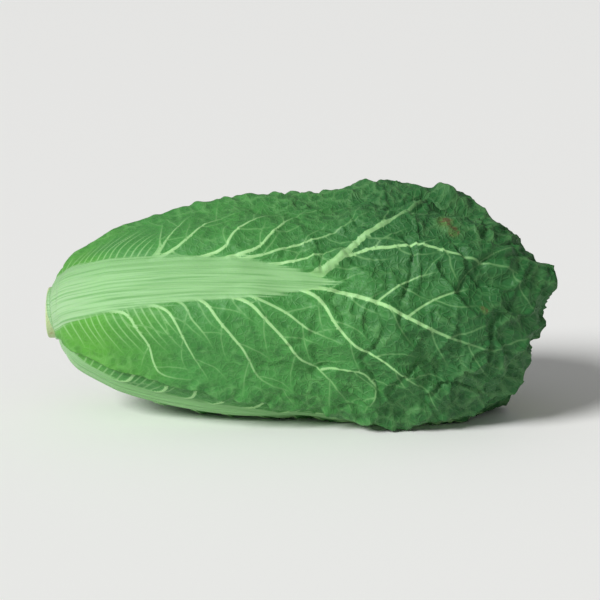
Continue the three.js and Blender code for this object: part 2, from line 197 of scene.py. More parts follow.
@dataclass(frozen=True)
class HeadForm:
    """Form of the whole head in millimetres: the rules by which its leaves grow, as in the solids.

    A place is a distance s along the heart's lengthwise section, an angle round the head with 0 at the
    front and a quarter turn at the top, and a height off the heart. Steps and phases are those of the
    sines by which one leaf differs from the next.
    """

    section: Stations = (
        (0, 21), (0.5, 28), (14, 41), (60, 59), (130, 71), (200, 72.5), (260, 67), (306, 51), (331, 28),
        (338, 0),
    )
    section_samples: int = 801
    section_step: float = 1e-4
    stem_radius: float = 20.5
    stem_depth: float = 92.0
    rest_depth: float = 81.5
    rest_softness: float = 2.0
    rest_press: float = 0.6
    rest_reach: float = math.radians(80)
    heart_leaves: int = 6
    wrapper_leaves: int = 10
    spiral_step: float = math.radians(135)
    size_step: float = 2.4
    size_phase: float = 1.1
    drift_step: float = 2.1
    drift_phase: float = 1.3
    wave_step: float = 1.9
    front_angle: float = math.radians(30)
    blade_outline: Stations = (
        (0, 0.22), (0.05, 0.42), (0.15, 0.6), (0.32, 0.8), (0.5, 0.95), (0.62, 1),
        (0.74, 0.96), (0.85, 0.8), (0.93, 0.57), (0.98, 0.32), (1, 0.16),
    )
    wrapper_half_width: float = 108.0
    heart_leaf_half_width: float = 74.0
    half_width_spread: float = 4.0
    half_width_loss: float = 1.2
    wrapper_reach: float = 0.93
    heart_leaf_reach: float = 0.98
    reach_spread: float = 0.018
    blade_thickness: float = 1.2
    layer_gap: float = 0.8
    layer_step: float = 0.9
    least_layout_radius: float = 12.0
    heart_leaf_start: float = 200.0
    heart_leaf_rise: float = 60.0
    rib_thickness: Stations = ((0, 3), (50, 5.5), (150, 4), (200, 2.4), (300, 1), (400, 0.4))
    rib_drift: float = math.radians(7)
    rib_drift_start: float = 90.0
    rib_drift_end: float = 330.0
    wave_height: Stations = ((0, 0), (80, 0.5), (200, 1.6), (310, 4), (400, 4))
    wave_length: float = 48.0
    wave_mean: float = 0.6
    wave_swing: float = 0.4
    ripple_length: float = 29.0
    ripple_share: float = 0.25
    ripple_phase: float = 1.7
    wave_band: float = 20.0
    across_share: float = 0.8
    far_side_phase: float = 2.2
    side_change: float = 10.0
    notch_depth: float = 3.0
    notch_length: float = 43.0
    notch_start: float = 60.0
    notch_full: float = 160.0
    loose_tip: Stations = ((0, 0), (210, 0), (330, 1.2), (400, 2))
    least_freedom: float = 0.5
    most_freedom: float = 1.5
    edge_allowance: float = 9.0
    edge_slope: float = 24.0
    wave_room_start: float = 34.0
    wave_room_full: float = 18.0
    rib_room_full: float = 0.3
    rib_room_end: float = 0.75
    rib_room_extra: float = 14.0
    columns: int = 28
    foot_row_step: float = 7.0
    foot_row_growth: float = 0.25
    foot_row_end: float = 50.0
    body_row_step: float = 21.0
    body_row_end: float = 165.0
    top_row_step: float = 12.0
    pole_clearance: float = 4.0
    table_rows: int = 211
    table_angles: int = 180

    @cached_property
    def _section_table(self) -> tuple[Array, Array, Array]:
        """Distances along the section, with the point and the direction at each.

        Returns:
            Distances, points and directions, one a row.
        """
        knots = np.array(self.section, float)
        share = np.linspace(0.0, 1.0, self.section_samples)
        points = catmull(knots, share)
        steps = np.hypot(*np.diff(points, axis=0).T)
        distance = np.concatenate(([0.0], np.cumsum(steps)))
        ahead = catmull(knots, share + self.section_step) - catmull(knots, share - self.section_step)
        return distance, points, ahead / np.linalg.norm(ahead, axis=1, keepdims=True)

    @cached_property
    def length(self) -> float:
        """Length of the section from the heart's foot to its top."""
        return float(self._section_table[0][-1])

    def foot(self, s: Array) -> tuple[Array, Array, Array, Array]:
        """Point of the section at a distance along it, and the section's direction there.

        Args:
            s: distances along the section.

        Returns:
            Lengthwise place, radius, and the direction's lengthwise and outward parts.
        """
        distance, points, ahead = self._section_table
        columns = (points[:, 0], points[:, 1], ahead[:, 0], ahead[:, 1])
        return tuple(np.interp(s, distance, values) for values in columns)

    @cached_property
    def rows(self) -> list[float]:
        """Distances along the section at which the solids have rows of points.

        Returns:
            Distances in millimetres.
        """
        rows = []
        s = 0.0
        while s < self.length - self.pole_clearance:
            rows.append(s)
            if s < self.foot_row_end:
                s += self.foot_row_step + self.foot_row_growth * s
            else:
                s += self.body_row_step if s < self.body_row_end else self.top_row_step
        return rows

    @cached_property
    def leaves(self) -> list[LeafPlan]:
        """Leaves from the innermost of the heart to the outermost wrapper.

        Returns:
            One plan for each leaf.
        """
        count = self.heart_leaves + self.wrapper_leaves
        plans = []
        for index in range(count):
            in_heart = index < self.heart_leaves
            outward = count - 1 - index
            vary = math.sin(self.size_step * outward + self.size_phase)
            reach = (self.heart_leaf_reach if in_heart else self.wrapper_reach) + self.reach_spread * vary
            wide = self.wrapper_half_width + self.half_width_spread * vary - self.half_width_loss * outward
            share = (index / (count - 1)) ** 2
            plans.append(
                LeafPlan(
                    index=index,
                    grown=Grown.HEART if in_heart else Grown.WRAPPER,
                    angle=self.front_angle + outward * self.spiral_step,
                    drift=self.rib_drift * math.sin(self.drift_step * outward - self.drift_phase),
                    length=max(s for s in self.rows if s <= reach * self.length),
                    half_width=self.heart_leaf_half_width if in_heart else wide,
                    gap=0.0 if in_heart else self.layer_gap,
                    freedom=self.least_freedom + (self.most_freedom - self.least_freedom) * share,
                    phase=self.wave_step * outward,
                )
            )
        return plans

    def half_width(self, leaf: LeafPlan, s: Array) -> Array:
        """Half width of a blade, negative past its tip.

        Args:
            leaf: the leaf.
            s: distances along it.

        Returns:
            Half widths in millimetres.
        """
        depth = self.notch_depth * ease(s, self.notch_start, self.notch_full)
        notch = depth * np.sin(TURN * s / self.notch_length + leaf.phase)
        inside = leaf.half_width * at(self.blade_outline, s / leaf.length) + notch
        return np.where(s > leaf.length, leaf.length - s, inside)

    def layout_radius(self, leaf: LeafPlan, s: Array) -> Array:
        """Radius at which a leaf's widths are laid out.

        Args:
            leaf: the leaf.
            s: distances along it.

        Returns:
            Radii in millimetres.
        """
        _, radius, lengthwise, _ = self.foot(s)
        grown = radius + np.maximum(lengthwise, 0.0) * self.layer_step * leaf.index
        return np.maximum(grown, self.least_layout_radius)

    def rib_angle(self, leaf: LeafPlan, s: Array) -> Array:
        """Angle round the head at which a leaf's rib runs."""
        return leaf.angle + leaf.drift * ease(s, self.rib_drift_start, self.rib_drift_end)

    def from_rib(self, leaf: LeafPlan, s: Array, angle: Array) -> Array:
        """Distance across a leaf from its rib, positive towards larger angles."""
        return nearest_turn(angle - self.rib_angle(leaf, s)) * self.layout_radius(leaf, s)

    def tallest_wave(self, leaf: LeafPlan, s: Array) -> Array:
        """Full height of the edge's waves."""
        return at(self.wave_height, s) * leaf.freedom

    def edge_wave(self, leaf: LeafPlan, s: Array, across: Array, inside: Array) -> Array:
        """Height by which the waved edge stands off the leaf's own bed.

        Args:
            leaf: the leaf.
            s: distances along it.
            across: signed distances from its rib.
            inside: distances inside its edge.

        Returns:
            Heights in millimetres.
        """
        run = TURN * (s + self.across_share * np.abs(across))
        phase = leaf.phase + self.far_side_phase * ease(across, -self.side_change, self.side_change)
        wave = (1.0 - self.ripple_share) * np.sin(run / self.wave_length + phase)
        ripple = self.ripple_share * np.sin(run / self.ripple_length + self.ripple_phase * phase)
        share = self.wave_mean + self.wave_swing * (wave + ripple)
        return self.tallest_wave(leaf, s) * share * (1.0 - ease(inside, 0.0, self.wave_band))

    def lift(self, leaf: LeafPlan, s: Array) -> Array:
        """Air under a leaf, which grows where the tips stand loose."""
        return leaf.gap / 2.0 + at(self.loose_tip, s) * leaf.freedom

    def risen(self, leaf: LeafPlan, s: Array) -> Array:
        """Share by which a leaf stands out of what carries it.

        Args:
            leaf: the leaf.
            s: distances along it.

        Returns:
            Shares from 0 to 1.
        """
        if leaf.grown is Grown.WRAPPER:
            return np.ones_like(s)
        return ease(s, self.heart_leaf_start, self.heart_leaf_start + self.heart_leaf_rise)

    def room(self, leaf: LeafPlan, s: Array, angle: Array) -> Array:
        """Height that a leaf takes up under the next one out.

        Args:
            leaf: the leaf.
            s: distances along it.
            angle: angles round the head.

        Returns:
            Heights in millimetres.
        """
        half = self.half_width(leaf, s)
        away = np.abs(self.from_rib(leaf, s, angle))
        covered = 1.0 - ease(away - half - self.edge_allowance, 0.0, self.edge_slope)
        near_edge = ease(away - half, -self.wave_room_start, -self.wave_room_full)
        past_rib = ease(away, self.rib_room_full * half, self.rib_room_end * half + self.rib_room_extra)
        wave = self.tallest_wave(leaf, s) * near_edge
        rib = at(self.rib_thickness, s) * (1.0 - past_rib)
        height = self.lift(leaf, s) + self.blade_thickness + wave + rib + leaf.gap / 2.0
        return covered * height * self.risen(leaf, s)

    @cached_property
    def _table_places(self) -> tuple[Array, Array]:
        """Distances and angles of the tables that the beds are read from.

        Returns:
            Distances and angles, row by row.
        """
        s = np.linspace(0.0, self.length, self.table_rows)
        angle = np.linspace(0.0, TURN, self.table_angles + 1)
        return np.meshgrid(s, angle, indexing="ij")

    @cached_property
    def _beds(self) -> Array:
        """Height of every leaf's bed over the whole head: everything that grows inside it.

        Returns:
            One table of heights for each leaf, and one for what lies over them all.
        """
        s, angle = self._table_places
        rooms = [self.room(leaf, s, angle) for leaf in self.leaves]
        return np.concatenate((np.zeros((1,) + s.shape), np.cumsum(rooms, axis=0)))

    @cached_property
    def _pushes(self) -> Array:
        """How far the flat spot that the head lies on pushes every layer in, column by column.

        Returns:
            A table of distances in millimetres.
        """
        s = np.linspace(0.0, self.length, self.table_rows)[:, None]
        angle = np.arange(self.columns + 1) * TURN / self.columns
        s, angle = np.broadcast_arrays(s, angle)
        cover = np.zeros(s.shape)
        for leaf in self.leaves:
            across = self.from_rib(leaf, s, angle)
            inside = self.half_width(leaf, s) - np.abs(across)
            reaches = inside + self.layout_radius(leaf, s) * TURN / self.columns >= 0.0
            own = self.lift(leaf, s) + self.edge_wave(leaf, s, across, inside) + self.blade_thickness
            height = self.bed(leaf, s, angle) + own * self.risen(leaf, s)
            cover = np.where(reaches, height, cover)
        from_down = np.abs(nearest_turn(angle + math.pi / 2.0))
        _, radius, lengthwise, _ = self.foot(s)
        near = np.minimum(from_down, self.rest_reach)
        excess = radius + lengthwise * cover - (self.rest_depth + self.rest_press) / np.cos(near)
        push = (excess + np.hypot(excess, self.rest_softness)) / 2.0
        return np.where(from_down > self.rest_reach, 0.0, push)

    def _read(self, table: Array, s: Array, angle: Array) -> Array:
        """Read a table over distances and angles, straight between its entries.

        Args:
            table: values at even steps along the section and round the head.
            s: distances along the section.
            angle: angles round the head.

        Returns:
            The values there.
        """
        rows, columns = table.shape[0] - 1, table.shape[1] - 1
        row = np.clip(s / self.length, 0.0, 1.0) * rows
        column = np.mod(angle / TURN, 1.0) * columns
        i, j = np.minimum(row.astype(int), rows - 1), np.minimum(column.astype(int), columns - 1)
        u, v = row - i, column - j
        low = table[i, j] * (1.0 - v) + table[i, j + 1] * v
        high = table[i + 1, j] * (1.0 - v) + table[i + 1, j + 1] * v
        return low * (1.0 - u) + high * u

    def bed(self, leaf: LeafPlan, s: Array, angle: Array) -> Array:
        """Height of the bed that a leaf lies on."""
        return self._read(self._beds[leaf.index], s, angle)

    def point(self, s: Array, angle: Array, height: Array) -> Array:
        """Points of the head, in its own frame with the middle line along X.

        Args:
            s: distances along the section.
            angle: angles round the head.
            height: heights off the heart.

        Returns:
            Places in millimetres, with x, y and z last.
        """
        place, radius, lengthwise, outward = self.foot(s)
        push = self._read(self._pushes, s, angle)
        reach = np.maximum(radius + height * lengthwise - push, 0.0)
        return np.stack((place - height * outward, -reach * np.cos(angle), reach * np.sin(angle)), axis=-1)


@dataclass(frozen=True)
class Course:
    """Line over the flat leaf: (along, across) in millimetres, and its vein or fold."""

    stations: Stations
    half_width: float = 1.0
    strength: float = 1.0
    lift: float = 1.1
    order: VeinOrder = VeinOrder.LATERAL


@dataclass(frozen=True)
class Vein:
    """One vein: points of its course, half width and paleness at each, and how far it stands out."""

    course: Array
    half_width: Array
    strength: Array
    lift: float
    order: VeinOrder


@dataclass(frozen=True)
class Bruise:
    """Small dry bruise of a leaf, in millimetres along it and across it."""

    along: float
    across: float
    radius: float


# Veins of the front leaf: those below its rib, with their forks, and then those above it
FRONT_LEAF_COURSES: tuple[Course, ...] = (
    Course(
        (
            (44, -17), (57, -20), (67, -24), (74, -35), (81, -48), (84, -62), (89, -71), (98, -75),
            (112, -78),
        ),
    ),
    Course(((74, -16), (87, -19), (97, -24), (104, -34), (111, -50), (117, -63), (125, -77))),
    Course(((100, -15), (109, -20), (115, -30), (124, -40), (130, -52)), half_width=0.7, strength=0.6),
    Course(
        (
            (97, -13), (116, -15), (126, -20), (134, -30), (145, -43), (153, -54), (159, -69), (166, -78),
            (184, -86),
        ),
        half_width=1.2,
    ),
    Course(
        (
            (126, -12), (143, -14), (157, -19), (170, -31), (183, -44), (193, -57), (207, -66), (221, -79),
            (232, -98),
        ),
        half_width=1.3,
    ),
    Course(
        ((209, -66), (224, -62), (238, -62), (245, -68), (249, -74), (246, -85), (240, -95)),
        half_width=0.8, strength=0.8, order=VeinOrder.FORK,
    ),
    Course(((144, -9), (162, -15), (183, -24), (195, -32), (205, -37), (224, -42)), strength=0.9),
    Course(
        ((190, -5), (208, -14), (219, -29), (233, -42), (252, -50), (265, -58), (274, -64), (292, -74)),
        half_width=1.1,
    ),
    Course(
        ((160, -4), (206, -5), (226, -8), (249, -13), (269, -21), (288, -28), (305, -32), (326, -35)),
        half_width=1.7,
    ),
    Course(
        ((248, -13), (261, -3), (275, 5), (288, 9)), half_width=0.7, strength=0.8, order=VeinOrder.FORK
    ),
    Course(
        ((268, -21), (284, -10), (297, -4), (310, 0)), half_width=0.7, strength=0.8, order=VeinOrder.FORK
    ),
    Course(((84, 19), (89, 27), (88, 44), (88, 60)), half_width=0.6, strength=0.5),
    Course(((86, 18), (92, 27), (98, 41), (103, 55), (110, 68)), half_width=0.8, strength=0.7),
    Course(
        ((84, 16), (95, 20), (105, 26), (115, 37), (123, 50), (132, 58), (148, 69)),
        half_width=1.1, strength=0.9,
    ),
    Course(((112, 14), (126, 18), (138, 23), (145, 36), (155, 48), (165, 57), (184, 71)), half_width=1.2),
    Course(((132, 13), (147, 17), (162, 23), (172, 36), (179, 46), (186, 56), (200, 73)), half_width=1.2),
    Course(
        ((140, 12), (155, 15), (169, 19), (186, 26), (204, 33), (222, 42), (244, 56)),
        half_width=1.1, strength=0.9,
    ),
    Course(((158, 8), (172, 11), (189, 14), (206, 19), (226, 25)), half_width=1.3),
    Course(
        ((160, 3), (196, 3), (208, 6), (219, 14), (231, 25), (248, 38), (264, 50), (276, 63), (286, 72)),
        half_width=3.5, strength=0.8, lift=0.9,
    ),
    Course(
        ((222, 16), (232, 20), (244, 24), (258, 25), (272, 27), (287, 25), (304, 20), (326, 16), (340, 12)),
        half_width=1.1, order=VeinOrder.FORK,
    ),
)
# Folds of the front leaf: swellings with a lift above zero and creases with one below
FRONT_LEAF_FOLDS: tuple[Course, ...] = (
    Course(((206, 12), (220, 18), (234, 30), (252, 44), (270, 58), (284, 72)), half_width=13.0, lift=0.28),
    Course(((196, 23), (214, 29), (230, 40), (244, 54), (256, 70)), half_width=7.0, lift=-0.6),
    Course(((308, -36), (296, -50), (284, -64), (266, -78), (252, -92)), half_width=6.0, lift=-0.45),
    Course(((320, -40), (308, -56), (296, -72), (282, -88)), half_width=12.0, lift=0.2),
    Course(((318, 12), (326, -12), (333, -36), (336, -58)), half_width=5.0, lift=-0.45),
    Course(((306, 14), (313, -8), (318, -24)), half_width=11.0, lift=0.16),
    Course(((290, 40), (308, 34), (326, 36), (342, 30)), half_width=5.0, lift=-0.4),
    Course(((236, -34), (254, -36), (272, -46)), half_width=9.0, lift=0.14),
)


@dataclass
class VeinTree:
    """Branching veins of one leaf, which walk out from the rib and turn as real veins do.

    Lengths are in millimetres and angles in degrees. A draw is the range of a random change.
    """

    length: float
    half_width_at: Callable[[float], float]
    rib_half_width: Stations
    courses: tuple[Course, ...] = ()
    seed: int = 1
    step: float = 4.0
    fewest_samples: int = 4
    fewest_points: int = 3
    first: float = 44.0
    last_share: float = 0.9
    spacing: float = 31.0
    spacing_loss: float = 0.25
    spacing_draw: tuple[float, float] = (0.75, 1.2)
    start_share: float = 0.7
    leave_angle: float = 10.0
    turn_distance: float = 30.0
    steep_angle: Stations = ((0, 62), (60, 66), (170, 60), (240, 50), (400, 36))
    steep_draw: float = 6.0
    end_angle: Stations = ((0, 30), (150, 38), (400, 22))
    end_draw: float = 5.0
    reach_share: float = 1.25
    fall_share: float = 0.4
    sway_angle: float = 7.0
    sway_length: float = 13.0
    longest: float = 220.0
    tip_share: float = 0.985
    edge_share: float = 0.94
    fine_edge_share: float = 0.95
    lateral_half_width: Stations = ((0, 1.0), (80, 1.25), (200, 1.15), (300, 0.9), (400, 0.7))
    lateral_lift: float = 1.1
    fine_lift: float = 0.5
    least_half_width: float = 0.4
    thinning: float = 0.8
    fade_start: float = 0.55
    fade_share: float = 0.85
    spread_distance: float = 12.0
    spread_share: float = 0.6
    foot_first: float = 8.0
    foot_last: float = 90.0
    foot_spacing: float = 5.4
    foot_spacing_draw: tuple[float, float] = (0.9, 1.15)
    foot_start_share: float = 0.9
    foot_reach: float = 44.0
    foot_reach_draw: tuple[float, float] = (0.6, 1.1)
    foot_lean: Stations = ((0, 0.2), (90, 0.7))
    foot_lean_draw: float = 0.08
    foot_bend: float = 0.004
    foot_half_width: float = 0.55
    foot_strength: float = 0.5
    foot_clearance: float = 3.0
    foot_free: float = 7.0
    branch_first: float = 20.0
    branch_spacing: float = 15.0
    branch_length: float = 30.0
    branch_step: float = 3.0
    branch_half_width: float = 0.55
    branch_share: float = 0.75
    branch_strength: float = 0.24
    branch_angle: float = 48.0
    branch_angle_draw: float = 10.0
    branch_bend: float = 0.045
    branch_wander: float = 0.12
    branch_clearance: float = 3.0

    def grow(self) -> list[Vein]:
        """Grow the laterals, the fine parallel veins at the leaf's foot, and the branches.

        Returns:
            The veins.
        """
        self._rng = np.random.default_rng(self.seed)
        laterals = [self.trace(course) for course in self.courses]
        if not laterals:
            for side in (1, -1):
                laterals += [self._lateral(start, side) for start in self._starts(side)]
        laterals = [vein for vein in laterals if len(vein.course) >= self.fewest_points]
        return laterals + self._foot_veins(laterals) + self._branches(laterals)

    def trace(self, course: Course) -> Vein:
        """Vein or fold along a course.

        Args:
            course: the course.

        Returns:
            The vein or fold.
        """
        knots = np.array(course.stations, float)
        run = float(np.sum(np.hypot(*np.diff(knots, axis=0).T)))
        points = catmull(knots, np.linspace(0.0, 1.0, max(int(run / self.step), self.fewest_samples)))
        return self._vein(points, course.order, course.half_width, course.strength, course.lift)

    def _vary(self, most: float) -> float:
        """Draw a change between less and more of the same size."""
        return self._rng.uniform(-most, most)

    def _starts(self, side: int) -> list[float]:
        """Places along the rib where the laterals of one side leave it.

        Args:
            side: 1 for the side of larger angles, -1 for the other.

        Returns:
            Distances along the leaf.
        """
        places = []
        s = self.first + (0.0 if side > 0 else self.spacing / 2.0)
        while s < self.last_share * self.length:
            places.append(s)
            closer = 1.0 - self.spacing_loss * s / self.length
            s += self.spacing * closer * self._rng.uniform(*self.spacing_draw)
        return places

    def _lateral(self, start: float, side: int) -> Vein:
        """Walk one lateral from the rib towards the edge.

        Args:
            start: distance along the leaf at which it leaves the rib.
            side: 1 for the side of larger angles, -1 for the other.

        Returns:
            The lateral.
        """
        place = np.array([start, side * self.start_share * at(self.rib_half_width, start)])
        steep = at(self.steep_angle, start) + self._vary(self.steep_draw)
        end = at(self.end_angle, start) + self._vary(self.end_draw)
        sway = self._rng.uniform(0, TURN)
        course = [place.copy()]
        walked = 0.0
        reach = self.reach_share * self.half_width_at(start)
        while walked < self.longest:
            rise = ease(walked, 0.0, self.turn_distance)
            fall = ease(walked, self.fall_share * reach, reach)
            heading = self.leave_angle + (steep - self.leave_angle) * rise + (end - steep) * fall
            heading += self.sway_angle * math.sin(walked / self.sway_length + sway)
            turn = math.radians(heading)
            place = place + self.step * np.array([math.cos(turn), side * math.sin(turn)])
            walked += self.step
            if not self._on_blade(place, self.edge_share):
                break
            course.append(place.copy())
        thick = at(self.lateral_half_width, start)
        return self._vein(course, VeinOrder.LATERAL, thick, 1.0, self.lateral_lift)

    def _on_blade(self, place: Array, edge_share: float) -> bool:
        """Tell whether a place is short of the leaf's tip and inside its edge.

        Args:
            place: distances along and across the leaf.
            edge_share: share of the half width that counts as inside.

        Returns:
            True where it is.
        """
        along, across = place
        half = edge_share * self.half_width_at(along)
        return along <= self.tip_share * self.length and abs(across) <= half

    def _vein(
        self, course: list[Array] | Array, order: VeinOrder, thick: float, strength: float, lift: float
    ) -> Vein:
        """Vein along a course, spread where it leaves the rib, thinning and fading to its end.

        Args:
            course: points along and across the leaf.
            order: the vein's rank.
            thick: half width at its start.
            strength: paleness at its start.
            lift: height for each millimetre of half width.

        Returns:
            The vein.
        """
        points = np.array(course)
        share = np.linspace(0.0, 1.0, len(points))
        width = self.least_half_width + (thick - self.least_half_width) * (1.0 - share) ** self.thinning
        if order is VeinOrder.LATERAL:
            walked = np.concatenate(([0.0], np.cumsum(np.hypot(*np.diff(points, axis=0).T))))
            width = width * (1.0 + self.spread_share * np.exp(-walked / self.spread_distance))
        pale = strength * (1.0 - self.fade_share * ease(share, self.fade_start, 1.0))
        return Vein(points, width, pale, lift, order)

    def _foot_veins(self, laterals: list[Vein]) -> list[Vein]:
        """Fine parallel veins that cross the wings at the leaf's foot, up to the first lateral.

        Args:
            laterals: the laterals.

        Returns:
            The fine veins.
        """
        taken = np.concatenate([vein.course for vein in laterals])
        taken = taken[np.abs(taken[:, 1]) > at(self.rib_half_width, taken[:, 0]) + self.foot_free]
        veins = []
        for side in (1, -1):
            s = self.foot_first
            while s < self.foot_last:
                across = self.foot_start_share * at(self.rib_half_width, s)
                reach = self.foot_reach * self._rng.uniform(*self.foot_reach_draw)
                reach = min(reach, self.fine_edge_share * self.half_width_at(s) - across)
                lean = at(self.foot_lean, s) + self._vary(self.foot_lean_draw)
                out = np.arange(0.0, max(reach, 0.0), self.step)
                along = s + lean * out + self.foot_bend * out**2
                course = np.stack((along, side * (across + out)), axis=-1)
                free = [np.min(np.hypot(*(taken - place).T)) > self.foot_clearance for place in course]
                course = course[: free.index(False)] if False in free else course
                if len(course) >= self.fewest_points:
                    thick, strength = self.foot_half_width, self.foot_strength
                    veins.append(self._vein(course, VeinOrder.FINE, thick, strength, self.fine_lift))
                s += self.foot_spacing * self._rng.uniform(*self.foot_spacing_draw)
        return veins

    def _branches(self, laterals: list[Vein]) -> list[Vein]:
        """Thin branches that leave the laterals on both sides and stop where they meet another vein.

        Args:
            laterals: the laterals.

        Returns:
            The branches.
        """
        taken = np.concatenate([vein.course for vein in laterals])
        owner = np.concatenate([np.full(len(vein.course), i) for i, vein in enumerate(laterals)])
        branches = []
        every = max(int(round(self.branch_spacing / self.step)), 1)
        for index, lateral in enumerate(laterals):
            for order, k in enumerate(range(every, len(lateral.course) - 1, every)):
                side = 1.0 if order % 2 else -1.0
                ahead = lateral.course[k + 1] - lateral.course[k - 1]
                turn = math.radians(self.branch_angle + self._vary(self.branch_angle_draw))
                heading = math.atan2(ahead[1], ahead[0]) + side * turn
                course = self._branch(lateral.course[k], heading, -side, taken[owner != index])
                if len(course) >= self.fewest_points:
                    thick = min(self.branch_half_width, self.branch_share * lateral.half_width[k])
                    strength = self.branch_strength
                    branches.append(self._vein(course, VeinOrder.FINE, thick, strength, self.fine_lift))
        return branches

    def _branch(self, start: Array, heading: float, bend: float, others: Array) -> list[Array]:
        """Walk one branch until it meets another vein, the edge or its own end.

        Args:
            start: where it leaves its lateral.
            heading: its first direction, in radians.
            bend: the way it bends, 1 or -1.
            others: points of the other laterals.

        Returns:
            Points of its course.
        """
        place = start.copy()
        course = [place.copy()]
        for _ in range(int(self.branch_length / self.branch_step)):
            heading += bend * self.branch_bend + self._vary(self.branch_wander)
            place = place + self.branch_step * np.array([math.cos(heading), math.sin(heading)])
            if place[0] <= self.branch_first or not self._on_blade(place, self.fine_edge_share):
                break
            course.append(place.copy())
            if np.min(np.hypot(*(others - place).T)) < self.branch_clearance:
                break
        return course


@dataclass(frozen=True)
class Crinkle:
    """One kind of line in a crushed blade: its waves' lengths, its bend and width, and its height."""

    shortest: float
    longest: float
    bend: float
    width: float
    height: float


@dataclass
class BladeShape:
    """One leaf as a fine sheet: outline, rib, raised veins, crushed blade and frilled edge.

    Sizes are in millimetres. Stations run along the leaf, and a span is where a change comes in.
    """

    form: HeadForm
    plan: LeafPlan
    along: int
    across: int
    start: float = 0.0
    grid_decimals: int = 6
    courses: tuple[Course, ...] = ()
    folds: tuple[Course, ...] = ()
    least_fold: float = 1.0
    bruises: tuple[Bruise, ...] = ()
    bruise_core: float = 0.3
    vein_seed: int = 100
    cell_seed: int = 31
    crumple_seed: int = 7
    thickness: float = 0.9
    thickest: float = 9.0
    thinnest_share: float = 0.02
    thickness_levels: int = 60
    rib_half_width: Stations = (
        (0, 24), (30, 20), (60, 18), (150, 13.5), (190, 10), (215, 6.5), (260, 3.6), (310, 1.8), (350, 0.5),
        (400, 0),
    )
    least_rib: float = 0.05
    rib_start: Span = (0.3, 3.0)
    rib_shoulder: float = 0.3
    rib_foot: float = 0.5
    rib_profile: float = 1.4
    rib_end_gap: float = 3.0
    thin_rib: Span = (2.0, 8.0)
    thin_rib_spread: float = 1.2
    rib_fade: float = 0.0
    rib_fade_span: Span = (170.0, 236.0)
    groove_depth: float = 0.42
    groove_spacing: float = 5.2
    groove_sway: float = 0.8
    groove_sway_length: float = 37.0
    groove_rib: Span = (2.0, 7.0)
    groove_start: float = 28.0
    far_from_vein: float = 9.0
    stamp_reach: float = 22.0
    ridge_rows: float = 0.75
    strong_share: float = 0.55
    rise: Stations = ((0, 0), (60, 0.6), (150, 1.6), (250, 2.9), (400, 3.4))
    panel_depth: Stations = ((0, 0.2), (60, 0.7), (150, 1.4), (260, 1.4), (400, 1.2))
    panel_width: float = 9.0
    pucker_depth: Stations = ((0, 0.1), (60, 0.3), (150, 0.6), (260, 0.9), (400, 1.0))
    pucker_width: float = 4.5
    cell_size: float = 11.0
    cell_count: int = 60
    cell_shift: tuple[float, float] = (2.0, 20.0)
    cell_draw: tuple[float, float] = (0.1, 0.9)
    cell_border: float = 1.8
    cell_sink: float = 0.2
    cell_depth: Stations = ((0, 0.0), (70, 0.1), (150, 0.4), (260, 1.0), (400, 1.2))
    sines: int = 14
    bend_waves: tuple[float, float] = (40.0, 70.0)
    crumple_height: Stations = ((0, 0), (60, 0.2), (150, 1.2), (220, 3.0), (290, 5.4), (400, 5.8))
    swelling_waves: tuple[float, float] = (24.0, 52.0)
    swelling_share: float = 0.25
    crinkles: tuple[Crinkle, ...] = (
        Crinkle(shortest=30.0, longest=64.0, bend=5.0, width=0.55, height=-0.7),
        Crinkle(shortest=26.0, longest=54.0, bend=5.0, width=0.4, height=0.5),
        Crinkle(shortest=16.0, longest=30.0, bend=4.0, width=0.45, height=0.3),
    )
    fine_waves: tuple[float, float] = (6.0, 11.0)
    fine_height: Stations = ((0, 0), (100, 0.06), (250, 0.15), (400, 0.18))
    calm_edge: float = 18.0
    calm_share: float = 0.4
    ruffle_height: Stations = ((0, 0), (70, 0.4), (180, 1.3), (300, 1.9), (400, 2.2))
    ruffle_waves: tuple[float, ...] = (23.0, 14.3, 10.3)
    ruffle_mean: float = 0.5
    ruffle_phase: float = 0.6
    ruffle_band: float = 20.0
    frill_depth: float = 2.4
    frill_span: Span = (60.0, 170.0)
    near_frill: tuple[float, ...] = (26.0, 15.3, 10.1)
    far_frill: tuple[float, ...] = (23.0, 16.1, 9.7)
    far_frill_shift: float = 31.0
    far_frill_phase: float = 1.0
    side_blend: float = 0.3
    tip_start: float = 0.7
    tip_round: float = 24.0
    tip_power: int = 4
    tip_frill: float = 1.1
    tip_frill_waves: tuple[float, ...] = (19.0, 11.3)
    tip_width_share: float = 0.35
    cover_span: Span = (-12.0, 4.0)
    covered_share: float = 0.12
    least_lift: float = 0.25
    sunk_depth: float = 1.6

    def build(self, name: str) -> bpy.types.Object:
        """Shape a grid into the leaf and give it its thickness.

        Args:
            name: the piece's name.

        Returns:
            The finished piece, with its place in its mesh.
        """
        steps = {"x_subdivisions": self.across, "y_subdivisions": self.along}
        piece = start_piece(name, bpy.ops.mesh.primitive_grid_add, size=2.0, **steps)
        grid = points_of(piece.data)
        order = np.lexsort(np.round(grid[:, :2], self.grid_decimals).T)
        shape = (self.along + 1, self.across + 1)
        self._lay_out(grid[order, 0].reshape(shape), grid[order, 1].reshape(shape))
        self._raise_veins()
        places = np.empty_like(grid)
        places[order] = self._places().reshape(-1, 3) * MM + np.array(origin_of_head())
        piece.data.vertices.foreach_set("co", places.ravel())
        self._store(piece, order)
        self._thicken(piece, order)
        bpy.ops.object.shade_smooth()
        return piece

